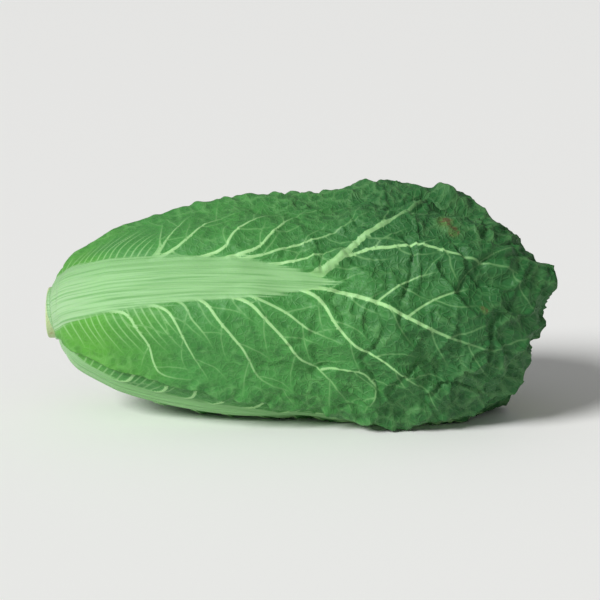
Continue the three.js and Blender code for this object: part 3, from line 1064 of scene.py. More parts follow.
    def _lay_out(self, u: Array, v: Array) -> None:
        """Work out where each grid point lies on the flat leaf: along it, across it and inside its edge.

        Args:
            u: the grid's places across, from -1 to 1.
            v: the grid's places along, from -1 to 1.
        """
        form, plan = self.form, self.plan
        share = (v + 1.0) / 2.0
        round_tip = self.tip_width_share * plan.half_width * u
        tip_frill = self.tip_frill * (1.0 + waves(round_tip, self.tip_frill_waves, plan.phase))
        tip = ease(share, self.tip_start, 1.0) * (self.tip_round * u**self.tip_power + tip_frill)
        self.s = self.start + (plan.length - self.start) * share - tip
        near_side = waves(self.s, self.near_frill, plan.phase)
        far_phase = plan.phase + self.far_frill_phase
        far_side = waves(self.s + self.far_frill_shift, self.far_frill, far_phase)
        side = ease(u, -self.side_blend, self.side_blend)
        frill = (near_side + side * (far_side - near_side)) * ease(self.s, *self.frill_span)
        self.half = form.half_width(plan, np.minimum(self.s, plan.length)) + self.frill_depth * frill
        self.d = -u * self.half
        self.angle = form.rib_angle(plan, self.s) + self.d / form.layout_radius(plan, self.s)
        self.inside = self.half - np.abs(self.d)

    def _half_width_at(self, s: float) -> float:
        """Half width of the blade at one distance along it."""
        return float(self.form.half_width(self.plan, np.array(min(s, self.plan.length))))

    def _raise_veins(self) -> None:
        """Press the veins into the grid: their ridges, their masks and the distance to the nearest."""
        tree = VeinTree(
            length=self.plan.length,
            half_width_at=self._half_width_at,
            rib_half_width=self.rib_half_width,
            courses=self.courses,
            seed=self.vein_seed + self.plan.index,
        )
        self.ridge = np.zeros_like(self.s)
        self.fold = np.zeros_like(self.s)
        self.vein_gap = np.full(self.s.shape, self.far_from_vein)
        self.order_gap = {order: np.full(self.s.shape, self.far_from_vein) for order in VeinOrder}
        self.side = {order: np.full(self.s.shape, self.far_from_vein) for order in VeinOrder}
        self.vein_half = np.zeros_like(self.s)
        self.vein_strength = np.zeros_like(self.s)
        self.rib_gap = np.abs(self.d) - at(self.rib_half_width, self.s)
        self.from_any = np.maximum(self.rib_gap, 0.0)
        self.from_strong = np.maximum(self.rib_gap, 0.0)
        for vein in tree.grow():
            for k in range(len(vein.course) - 1):
                self._stamp(vein, k)
        for course in self.folds:
            self._crease(tree.trace(course))

    def _crease(self, line: Vein) -> None:
        """Fold the blade along a line: up for a swelling, down for a crease.

        Args:
            line: the line, with its half width and lift.
        """
        away = np.full(self.s.shape, np.inf)
        half = np.zeros_like(self.s)
        for (s, d), width in zip(line.course, line.half_width):
            here = np.hypot(self.s - s, self.d - d)
            half = np.where(here < away, width, half)
            away = np.minimum(away, here)
        self.fold += line.lift * half * np.exp(-((away / np.maximum(half, self.least_fold)) ** 2))

    def _stamp(self, vein: Vein, k: int) -> None:
        """Press one straight stretch of a vein into the grid.

        Args:
            vein: the vein.
            k: number of the stretch.
        """
        start, end = vein.course[k], vein.course[k + 1]
        low = min(start[0], end[0]) - self.stamp_reach
        high = max(start[0], end[0]) + self.stamp_reach + self.tip_round
        middle = self.s[:, self.across // 2]
        rows = slice(int(np.searchsorted(middle, low)), int(np.searchsorted(middle, high)))
        s, d = self.s[rows], self.d[rows]
        if s.size == 0:
            return
        step = end - start
        t = np.clip(((s - start[0]) * step[0] + (d - start[1]) * step[1]) / float(step @ step), 0.0, 1.0)
        away = np.hypot(s - start[0] - t * step[0], d - start[1] - t * step[1])
        half = vein.half_width[k] + (vein.half_width[k + 1] - vein.half_width[k]) * t
        pale = vein.strength[k] + (vein.strength[k + 1] - vein.strength[k]) * t
        side = np.sign(step[0] * (d - start[1]) - step[1] * (s - start[0]))
        soft = half + self.ridge_rows * self.plan.length / self.along
        ridge = vein.lift * half * np.exp(-((away / soft) ** 2))
        self.ridge[rows] = np.maximum(self.ridge[rows], ridge)
        gap = away - half
        nearer = gap < self.vein_gap[rows]
        self.vein_strength[rows] = np.where(nearer, pale, self.vein_strength[rows])
        self.vein_half[rows] = np.where(nearer, half, self.vein_half[rows])
        self.vein_gap[rows] = np.minimum(self.vein_gap[rows], gap)
        order_gap, order_side = self.order_gap[vein.order], self.side[vein.order]
        order_side[rows] = np.where(gap < order_gap[rows], side * away, order_side[rows])
        order_gap[rows] = np.minimum(order_gap[rows], gap)
        self.from_any[rows] = np.minimum(self.from_any[rows], np.maximum(gap, 0.0))
        if vein.strength[0] > self.strong_share:
            self.from_strong[rows] = np.minimum(self.from_strong[rows], np.maximum(gap, 0.0))

    def _cells(self) -> Array:
        """Distance to the border of irregular cells, as the finest veins fence the blade in.

        Returns:
            Distances in millimetres.
        """
        rng = np.random.default_rng(self.cell_seed + self.plan.index)
        column, row = (x / self.cell_size + shift for x, shift in zip((self.s, self.d), self.cell_shift))
        seeds = rng.uniform(*self.cell_draw, (self.cell_count, self.cell_count, 2))
        nearest = np.full(self.s.shape, np.inf)
        second = np.full(self.s.shape, np.inf)
        for i in (-1, 0, 1):
            for j in (-1, 0, 1):
                cell_i = np.clip(np.floor(column).astype(int) + i, 0, self.cell_count - 1)
                cell_j = np.clip(np.floor(row).astype(int) + j, 0, self.cell_count - 1)
                seed = seeds[cell_i, cell_j]
                away = np.hypot(cell_i + seed[..., 0] - column, cell_j + seed[..., 1] - row)
                second = np.minimum(second, np.maximum(nearest, away))
                nearest = np.minimum(nearest, away)
        return (second - nearest) / 2.0 * self.cell_size

    def _covered(self) -> Array:
        """Share by which the leaves further out hide each place of this one.

        Returns:
            Shares from 0 to 1.
        """
        cover = np.zeros_like(self.s)
        for outer in self.form.leaves[self.plan.index + 1 :]:
            across = np.abs(self.form.from_rib(outer, self.s, self.angle))
            inside = self.form.half_width(outer, self.s) - across
            cover = np.maximum(cover, ease(inside, *self.cover_span))
        return cover

    def _field(self, rng: np.random.Generator, shortest: float, longest: float, bend: float = 0.0) -> Array:
        """Soft bumps of unlike sizes, from sines that run every way.

        Args:
            rng: where the sines' directions, lengths and phases are drawn from.
            shortest: shortest wave in millimetres.
            longest: longest wave in millimetres.
            bend: how far the sines' crests are pushed out of line, in millimetres.

        Returns:
            Heights with a spread of about 1.
        """
        s, d = self.s, self.d
        if bend:
            s = s + bend * self._field(rng, *self.bend_waves)
            d = d + bend * self._field(rng, *self.bend_waves)
        total = np.zeros_like(self.s)
        for _ in range(self.sines):
            turn, length, phase = rng.uniform(0, TURN), rng.uniform(shortest, longest), rng.uniform(0, TURN)
            total += np.sin(TURN * (s * math.cos(turn) + d * math.sin(turn)) / length + phase)
        return total * math.sqrt(2.0 / self.sines)

    def _crumple(self) -> Array:
        """Swellings, long creases and ridges of the crushed blade, deeper towards the top.

        Returns:
            Heights in millimetres.
        """
        rng = np.random.default_rng(self.crumple_seed + self.plan.index)
        coarse = self.swelling_share * self._field(rng, *self.swelling_waves)
        for crinkle in self.crinkles:
            line = np.abs(self._field(rng, crinkle.shortest, crinkle.longest, crinkle.bend)) / crinkle.width
            coarse = coarse + crinkle.height * np.maximum(1.0 - line, 0.0)
        fine = self._field(rng, *self.fine_waves)
        calm = self.calm_share + (1.0 - self.calm_share) * ease(self.inside, 0.0, self.calm_edge)
        return (at(self.crumple_height, self.s) * coarse + at(self.fine_height, self.s) * fine) * calm

    def _rib(self) -> tuple[Array, Array]:
        """Height of the grooved rib, and the share by which each place is blade and not rib.

        Returns:
            Heights in millimetres, and shares from 0 to 1.
        """
        half = np.maximum(at(self.rib_half_width, self.s), self.least_rib)
        bulge = 1.0 - np.clip(np.abs(self.d) / half, 0.0, 1.0) ** 2
        ribbed = ease(half, *self.rib_start)
        on_blade = 1.0 - ribbed * (1.0 - ease(self.rib_gap, -self.rib_shoulder * half, self.rib_foot))
        self.rib_gap = self.rib_gap + self.rib_end_gap * (1.0 - ribbed)
        self.rib_gap = self.rib_gap - self.thin_rib_spread * (1.0 - ease(half, *self.thin_rib))
        self.rib_gap = self.rib_gap + self.rib_fade * ease(self.s, *self.rib_fade_span)
        rise = at(self.form.rib_thickness, self.s) * bulge**self.rib_profile * ribbed
        sway = self.groove_sway * np.sin(self.s / self.groove_sway_length)
        grooves = self.groove_depth * bulge * np.sin(TURN * self.d / self.groove_spacing + sway)
        grooves = grooves * ease(half, *self.groove_rib) * ease(self.s, 0.0, self.groove_start)
        return rise + grooves, on_blade

    def _pucker(self) -> Array:
        """Sink of the blade between its veins, with ridges on the borders of its cells.

        Returns:
            Heights in millimetres.
        """
        panel = 1.0 - np.exp(-((self.from_strong / self.panel_width) ** 2))
        self.pocket = 1.0 - np.exp(-((self.from_any / self.pucker_width) ** 2))
        self.cell = np.exp(-((self._cells() / self.cell_border) ** 2)) * self.pocket
        sink = at(self.panel_depth, self.s) * panel + at(self.pucker_depth, self.s) * self.pocket
        return at(self.cell_depth, self.s) * (self.cell - self.cell_sink * self.pocket) - sink

    def _ruffle(self) -> Array:
        """Ruffles of the free edge, too small for the solids.

        Returns:
            Heights in millimetres.
        """
        run = self.s + self.form.across_share * np.abs(self.d)
        ripple = self.ruffle_mean + waves(run, self.ruffle_waves, self.plan.phase + self.ruffle_phase)
        near_edge = 1.0 - ease(self.inside, 0.0, self.ruffle_band)
        return at(self.ruffle_height, self.s) * ripple * near_edge * self.plan.freedom

    def _places(self) -> Array:
        """Heights of the leaf's outer face, turned into places round the head.

        Returns:
            Places in millimetres, with x, y and z last.
        """
        s, form, plan = self.s, self.form, self.plan
        rib, on_blade = self._rib()
        relief = (self._pucker() + self._crumple() + self.fold) * on_blade
        relief = relief + at(self.rise, s) + self._ruffle()
        open_air = 1.0 - (1.0 - self.covered_share) * self._covered()
        own = form.lift(plan, s) + form.edge_wave(plan, s, self.d, self.inside)
        free = np.maximum(own + relief * open_air, self.least_lift)
        self.thick = self.thickness + rib + self.ridge * on_blade
        risen = form.risen(plan, s)
        own = (free + self.thick) * risen - (1.0 - risen) * self.sunk_depth
        places = form.point(s, self.angle, form.bed(plan, s, self.angle) + own)
        places[..., 2] = np.maximum(places[..., 2], -form.rest_depth)
        return places

    def _bruise(self) -> Array:
        """Mask of the small dry bruises of an outer leaf.

        Returns:
            Shares from 0 to 1.
        """
        mask = np.zeros_like(self.s)
        for bruise in self.bruises:
            away = np.hypot(self.s - bruise.along, self.d - bruise.across)
            mask = np.maximum(mask, 1.0 - ease(away, self.bruise_core * bruise.radius, bruise.radius))
        return mask

    def _store(self, piece: bpy.types.Object, order: Array) -> None:
        """Store what the finish reads, in the order of the grid's own points.

        Args:
            piece: the leaf's piece.
            order: the grid's own number of each point, row by row.
        """
        masks = {
            "rib_gap": self.rib_gap,
            "vein_gap": self.vein_gap,
            "vein_half": self.vein_half,
            "vein_strength": self.vein_strength,
            "pocket": self.pocket,
            "cell": self.cell,
            "bruise": self._bruise(),
            "along": self.s / self.form.length,
        }
        masks |= {vein_order.value: side for vein_order, side in self.side.items()}
        place = np.argsort(order)
        masks = {name: values.ravel()[place] for name, values in masks.items()}
        store_masks(piece.data, masks, np.stack((self.s, self.d), axis=-1).reshape(-1, 2)[place])

    def _thicken(self, piece: bpy.types.Object, order: Array) -> None:
        """Give the sheet its thickness on the inner side, thick at the rib and thin in the blade.

        Args:
            piece: the leaf's piece.
            order: the grid's own number of each point, row by row.
        """
        group = piece.vertex_groups.new(name="thickness")
        share = np.clip(self.thick.ravel() / self.thickest, self.thinnest_share, 1.0)
        levels = np.round(share * self.thickness_levels).astype(int)
        for level in np.unique(levels):
            group.add(order[levels == level].tolist(), level / self.thickness_levels, "REPLACE")
        solidify = piece.modifiers.new("thickness", "SOLIDIFY")
        solidify.thickness = self.thickest * MM
        solidify.offset = -1.0
        solidify.vertex_group = group.name
        bpy.ops.object.modifier_apply(modifier=solidify.name)


def origin_of_head() -> tuple[float, float, float]:
    """Place of the head's middle line and the heart's foot, read from the stem's box.

    Returns:
        The foot's place in metres.
    """
    low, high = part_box("stem")
    middle = (low + high) / 2.0
    return high.x - HeadForm.stem_depth * MM, middle.y, middle.z


def start_piece(name: str, add_primitive: Callable[..., set[str]], **sizes: object) -> bpy.types.Object:
    """Add a primitive with nothing else selected, as the start of a piece.

    Args:
        name: the piece's name.
        add_primitive: the operator that adds the primitive.
        sizes: what the operator is told.

    Returns:
        The new object.
    """
    bpy.ops.object.select_all(action="DESELECT")
    add_primitive(**sizes)
    piece = bpy.context.active_object
    piece.name = name
    piece.data.name = name
    return piece


def points_of(mesh: bpy.types.Mesh) -> Array:
    """Places of a mesh's points, one a row.

    Args:
        mesh: the mesh.

    Returns:
        Their x, y and z.
    """
    places = np.empty(len(mesh.vertices) * 3)
    mesh.vertices.foreach_get("co", places)
    return places.reshape(-1, 3)


def store_masks(mesh: bpy.types.Mesh, masks: dict[str, Array], flat: Array) -> None:
    """Store what a leaf's finish reads: masks at the points, and a map of the flat leaf.

    Args:
        mesh: the mesh of the piece.
        masks: values at its points, by the mask's name.
        flat: places of its points on the flat leaf, in millimetres.
    """
    for name, values in masks.items():
        mesh.attributes.new(name, "FLOAT", "POINT").data.foreach_set("value", values)
    corners = np.empty(len(mesh.loops), dtype=np.int32)
    mesh.loops.foreach_get("vertex_index", corners)
    mesh.uv_layers.active.data.foreach_set("uv", (flat[corners] / MAP_UNIT).ravel())


def dress(piece: bpy.types.Object, node: str, material: bpy.types.Material) -> None:
    """Give a piece its finish and its place in the frame, and report it.

    Args:
        piece: the piece.
        node: the node that it replaces.
        material: its finish.
    """
    piece.data.materials.clear()
    piece.data.materials.append(material)
    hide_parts(node)
    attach(piece, "root")
    log.info("%s: %d faces", piece.name, len(piece.data.polygons))


def add_node(
    tree: bpy.types.NodeTree, kind: str, settings: dict | None = None, inputs: dict | None = None
) -> bpy.types.Node:
    """Add a shader node, set it up and link it.

    Args:
        tree: the node tree.
        kind: the node's type name.
        settings: properties of the node, by name.
        inputs: values or output sockets for its inputs, by name or number.

    Returns:
        The node.
    """
    node = tree.nodes.new(kind)
    for name, value in (settings or {}).items():
        setattr(node, name, value)
    for name, value in (inputs or {}).items():
        if isinstance(value, bpy.types.NodeSocket):
            tree.links.new(value, node.inputs[name])
        else:
            node.inputs[name].default_value = value
    return node


@dataclass(frozen=True)
class Shading:
    """A new material's node tree, and the kinds of steps that the finishes are made of."""

    material: bpy.types.Material

    @classmethod
    def start(cls, name: str) -> "Shading":
        """Start a material with an empty tree.

        Args:
            name: the material's name.

        Returns:
            The start of its tree.
        """
        material = bpy.data.materials.new(name)
        material.use_nodes = True
        material.node_tree.nodes.clear()
        return cls(material)

    def add(self, kind: str, settings: dict | None = None, inputs: dict | None = None) -> bpy.types.Node:
        """Add a node to the tree."""
        return add_node(self.material.node_tree, kind, settings, inputs)

    def mask(self, name: str) -> Socket:
        """Values stored at the mesh's points."""
        return self.add("ShaderNodeAttribute", {"attribute_name": name}).outputs["Fac"]

    def noise(self, place: Socket, scale: float, detail: float) -> Socket:
        """Soft blotches between 0 and 1."""
        inputs = {"Vector": place, "Scale": scale, "Detail": detail}
        return self.add("ShaderNodeTexNoise", None, inputs).outputs["Fac"]

    def maths(self, operation: str, first: Value, second: Value = 0.0, third: Value = 0.0) -> Socket:
        """Combine values by an arithmetic operation."""
        inputs = {0: first, 1: second, 2: third}
        return self.add("ShaderNodeMath", {"operation": operation}, inputs).outputs[0]

    def vectors(self, operation: str, first: Socket, second: tuple[float, float, float]) -> Socket:
        """Combine a vector with a fixed one by an arithmetic operation."""
        inputs = {0: first, 1: second}
        return self.add("ShaderNodeVectorMath", {"operation": operation}, inputs).outputs["Vector"]

    def ramp(self, value: Value, low: float, high: float, start: float, end: float) -> Socket:
        """Smooth step from start at low to end at high, held outside them.

        Args:
            value: the value.
            low: where the step starts.
            high: where it ends.
            start: result up to low.
            end: result from high on.

        Returns:
            The result.
        """
        settings = {"interpolation_type": "SMOOTHSTEP"}
        inputs = {"Value": value, "From Min": low, "From Max": high, "To Min": start, "To Max": end}
        return self.add("ShaderNodeMapRange", settings, inputs).outputs["Result"]

    def mix(self, share: Value, first: Colour, second: Colour, blend: str = "MIX") -> Socket:
        """Mix two colours by a share."""
        settings = {"data_type": "RGBA", "blend_type": blend}
        inputs = {MIX_SHARE: share, MIX_FIRST: first, MIX_SECOND: second}
        return self.add("ShaderNodeMix", settings, inputs).outputs[MIX_RESULT]

    def bump(self, height: Socket, strength: float, distance: float) -> Socket:
        """Normals of a relief that stands out by a distance in metres."""
        inputs = {"Strength": strength, "Distance": distance, "Height": height}
        return self.add("ShaderNodeBump", None, inputs).outputs["Normal"]

    def finish(self, inputs: dict) -> bpy.types.Material:
        """End the tree with a surface of the given inputs.

        Args:
            inputs: values or output sockets for the surface, by name.

        Returns:
            The material.
        """
        shader = self.add("ShaderNodeBsdfPrincipled", None, inputs)
        self.add("ShaderNodeOutputMaterial", None, {"Surface": shader.outputs["BSDF"]})
        return self.material


@dataclass(frozen=True)
class LeafFinish:
    """Fresh cabbage leaf: waxy skin over moist tissue, pale and juicy in ribs and veins, green between.

    Sizes are in millimetres. A ramp says over which part of a mask or a noise a change comes in, and from
    which share to which.
    """

    name: str
    rib: int
    rib_foot: int
    # Colour of the rib's real fibre streaks, also used as painted shade on the rib's upper side
    streak: int
    vein: int
    blade_foot: int
    blade: int
    blade_top: int
    # Painted shade: the darker green painted into the hollows of the blade's pockets
    blade_painted_shade: int
    bruise: int = 0x5C4E34
    bruise_edge: int = 0x6C8848
    roughness: float = 0.5
    refraction: float = 1.42
    gloss: float = 0.3
    translucence: float = 0.1
    translucence_radius: tuple[float, float, float] = (0.6, 1.0, 0.3)
    rib_edge: tuple[float, float] = (-2.2, 0.6)
    rib_foot_ramp: Ramp = (0.0, 0.16, 0.0, 1.0)
    vein_edge: Ramp = (-0.35, 0.35, 1.0, 0.0)
    vein_reach: Ramp = (0.2, 0.6, 1.0, 0.0)
    web_cell: float = 4.2
    web_line: Ramp = (0.02, 0.16, 1.0, 0.0)
    web_strength: float = 0.06
    web_warp: float = 0.4
    web_warp_scale: float = 0.6
    web_warp_detail: float = 1.0
    blotch_size: float = 46.0
    blotch_shift: float = 0.24
    mottle_size: float = 7.0
    noise_detail: float = 3.0
    # Painted shade: the blade's upper side is pushed towards the darker top colour
    painted_upper_shade: Ramp = (0.0, 0.3, 0.0, 0.12)
    blade_ramp: Ramp = (0.2, 0.42, 0.0, 1.0)
    top_ramp: Ramp = (0.56, 0.96, 0.0, 1.0)
    cell_hollow: Ramp = (0.0, 1.0, 1.0, 0.2)
    cell_line: Ramp = (0.3, 1.0, 0.0, 0.1)
    # Painted shade in the hollows of the pockets, stronger or weaker with the mottle
    hollow_painted_shade: Ramp = (0.3, 0.7, 0.05, 0.5)
    fibre_width: float = 1.5
    fibre_length: float = 70.0
    fibre_reach: float = 7.0
    fibre_detail: float = 2.0
    streak_ramp: Ramp = (0.42, 0.7, 0.0, 0.75)
    # Painted shade: the rib's upper side takes the darker streak colour
    painted_upper_rib_shade: Ramp = (0.0, 0.14, 0.0, 0.36)
    bruise_rim: Ramp = (0.0, 0.8, 0.0, 0.4)
    bruise_core: Ramp = (0.3, 0.8, 0.0, 0.8)
    bruise_tear: Ramp = (0.45, 0.56, 0.0, 1.0)
    bump_strength: float = 0.7
    bump_distance: float = 0.5
    smooth_by_vein: Ramp = (0.0, 1.6, 1.0, 0.0)
    web_relief: Ramp = (0.15, 0.7, 0.35, 1.0)
    fibre_relief: float = 1.2

    def build(self) -> bpy.types.Material:
        """Build the finish as a node material.

        Returns:
            The material.
        """
        shading = Shading.start(self.name)
        flat = shading.add("ShaderNodeUVMap").outputs["UV"]
        masks = {name: shading.mask(name) for name in LEAF_MASKS}
        masks["upper"] = shading.add("ShaderNodeSeparateXYZ", None, {"Vector": flat}).outputs["Y"]
        masks["blotch"] = shading.noise(flat, MAP_UNIT / self.blotch_size, self.noise_detail)
        masks["mottle"] = shading.noise(flat, MAP_UNIT / self.mottle_size, self.noise_detail)
        masks["web"] = self._web(shading, flat)
        masks["fibre"] = self._fibres(shading, flat)
        masks["rib"] = self._rib_mask(shading, masks)
        masks["vein"] = self._vein_mask(shading, masks)
        return shading.finish(
            {
                "Base Color": self._colour(shading, masks),
                "Roughness": self.roughness,
                "IOR": self.refraction,
                "Specular IOR Level": self.gloss,
                "Subsurface Weight": self.translucence,
                "Subsurface Radius": self.translucence_radius,
                "Subsurface Scale": MM,
                "Normal": self._bump(shading, masks),
            }
        )

    def _web(self, shading: Shading, flat: Socket) -> Socket:
        """Web of the finest veins: 1 on a vein, 0 in the cells between.

        Args:
            shading: the material that is being made.
            flat: the map of the flat leaf.

        Returns:
            The mask.
        """
        size = MAP_UNIT / self.web_cell
        inputs = {"Vector": flat, "Scale": self.web_warp_scale * size, "Detail": self.web_warp_detail}
        warp = shading.add("ShaderNodeTexNoise", None, inputs).outputs["Color"]
        pushed = shading.mix(self.web_warp / size, flat, warp, "LINEAR_LIGHT")
        inputs = {"Vector": pushed, "Scale": size}
        cells = shading.add("ShaderNodeTexVoronoi", {"feature": "DISTANCE_TO_EDGE"}, inputs)
        return shading.ramp(cells.outputs["Distance"], *self.web_line)

    def _fibres(self, shading: Shading, flat: Socket) -> Socket:
        """Lengthwise fibres that show as fine streaks in the rib.

        Args:
            shading: the material that is being made.
            flat: the map of the flat leaf.

        Returns:
            The mask.
        """
        stretch = (MAP_UNIT / self.fibre_length, MAP_UNIT / self.fibre_width, 1.0)
        mapping = shading.add("ShaderNodeMapping", None, {"Vector": flat, "Scale": stretch})
        return shading.noise(mapping.outputs["Vector"], 1.0, self.fibre_detail)

    def _rib_mask(self, shading: Shading, masks: dict[str, Socket]) -> Socket:
        """Rib, with an edge that its fibres make ragged: 1 on it, 0 beside it.

        Args:
            shading: the material that is being made.
            masks: the leaf's masks, by name.

        Returns:
            The mask.
        """
        ragged = shading.maths("MULTIPLY_ADD", masks["fibre"], self.fibre_reach, masks["rib_gap"])
        low, high = (self.fibre_reach / 2.0 + edge for edge in self.rib_edge)
        return shading.ramp(ragged, low, high, 1.0, 0.0)

    def _vein_mask(self, shading: Shading, masks: dict[str, Socket]) -> Socket:
        """Veins: their paleness on them, 0 beside them.

        Args:
            shading: the material that is being made.
            masks: the leaf's masks, by name.

        Returns:
            The mask.
        """
        away = BladeShape.far_from_vein
        for order in VeinOrder:
            away = shading.maths("MINIMUM", away, shading.maths("ABSOLUTE", masks[order.value]))
        gap = shading.maths("SUBTRACT", away, masks["vein_half"])
        near = shading.ramp(masks["vein_gap"], *self.vein_reach)
        edge = shading.maths("MULTIPLY", shading.ramp(gap, *self.vein_edge), near)
        return shading.maths("MULTIPLY", edge, masks["vein_strength"])

    def _blade_colour(self, shading: Shading, masks: dict[str, Socket]) -> Socket:
        """Blade: green that darkens to the top, with painted shade in the hollows of its pockets and on its
        upper side, and pale veins.

        Args:
            shading: the material that is being made.
            masks: the leaf's masks, by name.

        Returns:
            The colour.
        """
        vein = linear(self.vein)
        # Painted shade: the upper side of the blade is pushed towards the darker top colour
        place = shading.maths("ADD", masks["along"], shading.ramp(masks["upper"], *self.painted_upper_shade))
        place = shading.maths("MULTIPLY_ADD", masks["blotch"], self.blotch_shift, place)
        blade = shading.ramp(place, *self.blade_ramp)
        blade = shading.mix(blade, linear(self.blade_foot), linear(self.blade))
        blade = shading.mix(shading.ramp(place, *self.top_ramp), blade, linear(self.blade_top))
        # Painted shade: the hollows of the pockets take the darker shade colour
        hollow = shading.ramp(masks["cell"], *self.cell_hollow)
        hollow = shading.maths("MULTIPLY", masks["pocket"], hollow)
        painted_shade = shading.maths("MULTIPLY", hollow, shading.ramp(masks["mottle"], *self.hollow_painted_shade))
        blade = shading.mix(painted_shade, blade, linear(self.blade_painted_shade))
        blade = shading.mix(shading.maths("MULTIPLY", masks["web"], self.web_strength), blade, vein)
        blade = shading.mix(shading.ramp(masks["cell"], *self.cell_line), blade, vein)
        return shading.mix(masks["vein"], blade, vein)

    def _rib_colour(self, shading: Shading, masks: dict[str, Socket]) -> Socket:
        """Rib: palest at its foot, with fine streaks, and painted shade that makes its upper side darker
        and greener.

        Args:
            shading: the material that is being made.
            masks: the leaf's masks, by name.

        Returns:
            The colour.
        """
        rib = shading.ramp(masks["along"], *self.rib_foot_ramp)
        rib = shading.mix(rib, linear(self.rib_foot), linear(self.rib))
        streaked = shading.ramp(masks["fibre"], *self.streak_ramp)
        # Painted shade on the rib's upper side, joined with the real fibre streaks
        upper = shading.ramp(masks["upper"], *self.painted_upper_rib_shade)
        return shading.mix(shading.maths("MAXIMUM", streaked, upper), rib, linear(self.streak))

    def _colour(self, shading: Shading, masks: dict[str, Socket]) -> Socket:
        """Blade and rib together, with the bruises over them.

        Args:
            shading: the material that is being made.
            masks: the leaf's masks, by name.

        Returns:
            The colour.
        """
        blade = self._blade_colour(shading, masks)
        leaf = shading.mix(masks["rib"], blade, self._rib_colour(shading, masks))
        leaf = shading.mix(shading.ramp(masks["bruise"], *self.bruise_rim), leaf, linear(self.bruise_edge))
        dry = shading.ramp(masks["bruise"], *self.bruise_core)
        torn = shading.ramp(masks["mottle"], *self.bruise_tear)
        return shading.mix(shading.maths("MULTIPLY", dry, torn), leaf, linear(self.bruise))

    def _bump(self, shading: Shading, masks: dict[str, Socket]) -> Socket:
        """Relief too fine for the mesh: the web of veins on the blade and fibres along the rib.

        Args:
            shading: the material that is being made.
            masks: the leaf's masks, by name.

        Returns:
            The normals.
        """
        smooth = shading.ramp(masks["vein_gap"], *self.smooth_by_vein)
        smooth = shading.maths("MAXIMUM", masks["rib"], smooth)
        blade = shading.maths("MULTIPLY_ADD", smooth, -1.0, 1.0)
        web = shading.maths("MULTIPLY", masks["web"], blade)
        web = shading.maths("MULTIPLY", web, shading.ramp(masks["along"], *self.web_relief))
        streak = shading.maths("MULTIPLY", masks["fibre"], masks["rib"])
        height = shading.maths("MULTIPLY_ADD", streak, self.fibre_relief, web)
        return shading.bump(height, self.bump_strength, self.bump_distance * MM)


OUTER_LEAF = LeafFinish(
    "outer_cabbage_leaf",
    rib=0x8ABA7E, rib_foot=0x98BD8E, streak=0x649C5A, vein=0x98C886,
    blade_foot=0x559A38, blade=0x438640, blade_top=0x2C6433, blade_painted_shade=0x1E4C27,
)
INNER_LEAF = LeafFinish(
    "inner_cabbage_leaf",
    rib=0xBCDCA0, rib_foot=0xD2E4B8, streak=0x9CC67E, vein=0x92C66E,
    blade_foot=0x80B24E, blade=0x5C9A40, blade_top=0x3A7634, blade_painted_shade=0x2E642C,
)
HEART_LEAF = LeafFinish(
    "heart_cabbage_leaf",
    rib=0xEEF2D0, rib_foot=0xF2F4DC, streak=0xDCE8B0, vein=0xF0F2C4,
    blade_foot=0xDCE08C, blade=0xD2DA74, blade_top=0xB6CC5C, blade_painted_shade=0x9CBA4A,
)


@dataclass(frozen=True)
class CutStemFinish:
    """Freshly cut cabbage stem: moist cream pith, a fibrous ring of vessels and a greener, drying rim.

    Sizes are in millimetres, and ramps as in a leaf's finish.
    """

    name: str = "cut_cabbage_stem"
    pith: int = 0xE6E6C8
    ring: int = 0xC2CB98
    rim: int = 0xA9C088
    dry: int = 0xA98A58
    roughness: float = 0.5
    refraction: float = 1.4
    ring_radius: float = 13.0
    ring_half_width: float = 2.4
    ring_share: float = 0.85
    rim_start: float = 17.0
    rim_full: float = 20.0
    rim_share: float = 0.9
    wander: float = 3.0
    grain_size: float = 1.1
    patch_size: float = 8.0
    noise_detail: float = 2.0
    speck_ramp: Ramp = (0.6, 0.78, 0.0, 0.8)
    stain_ramp: Ramp = (0.58, 0.78, 0.0, 0.55)
    bump_strength: float = 0.6
    bump_distance: float = 0.8

    def build(self, middle: Vector) -> bpy.types.Material:
        """Build the finish as a node material.

        Args:
            middle: a point on the stem's middle line, in metres.

        Returns:
            The material.
        """
        shading = Shading.start(self.name)
        place = shading.add("ShaderNodeTexCoord").outputs["Object"]
        grain = shading.noise(place, 1.0 / (self.grain_size * MM), self.noise_detail)
        patch = shading.noise(place, 1.0 / (self.patch_size * MM), self.noise_detail)
        radius = self._radius(shading, place, middle, patch)
        from_ring = shading.maths("ABSOLUTE", shading.maths("SUBTRACT", radius, self.ring_radius * MM))
        in_ring = shading.ramp(from_ring, 0.0, self.ring_half_width * MM, self.ring_share, 0.0)
        at_rim = shading.ramp(radius, self.rim_start * MM, self.rim_full * MM, 0.0, self.rim_share)
        colour = shading.mix(in_ring, linear(self.pith), linear(self.ring))
        colour = shading.mix(at_rim, colour, linear(self.rim))
        stain = shading.maths(
            "MAXIMUM", shading.ramp(grain, *self.speck_ramp), shading.ramp(patch, *self.stain_ramp)
        )
        colour = shading.mix(stain, colour, linear(self.dry))
        bump = shading.bump(grain, self.bump_strength, self.bump_distance * MM)
        inputs = {"Base Color": colour, "Roughness": self.roughness, "IOR": self.refraction, "Normal": bump}
        return shading.finish(inputs)

    def _radius(self, shading: Shading, place: Socket, middle: Vector, patch: Socket) -> Socket:
        """Distance from the stem's middle line, made to wander by soft patches.

        Args:
            shading: the material that is being made.
            place: places on the stem.
            middle: a point on its middle line, in metres.
            patch: the soft patches.

        Returns:
            Distances in metres.
        """
        from_middle = shading.vectors("SUBTRACT", place, (0.0, middle.y, middle.z))
        flat = shading.vectors("MULTIPLY", from_middle, (0.0, 1.0, 1.0))
        length = shading.add("ShaderNodeVectorMath", {"operation": "LENGTH"}, {0: flat}).outputs["Value"]
        pushed = shading.maths("MULTIPLY_ADD", patch, self.wander * MM, length)
        return shading.maths("SUBTRACT", pushed, self.wander * MM / 2.0)


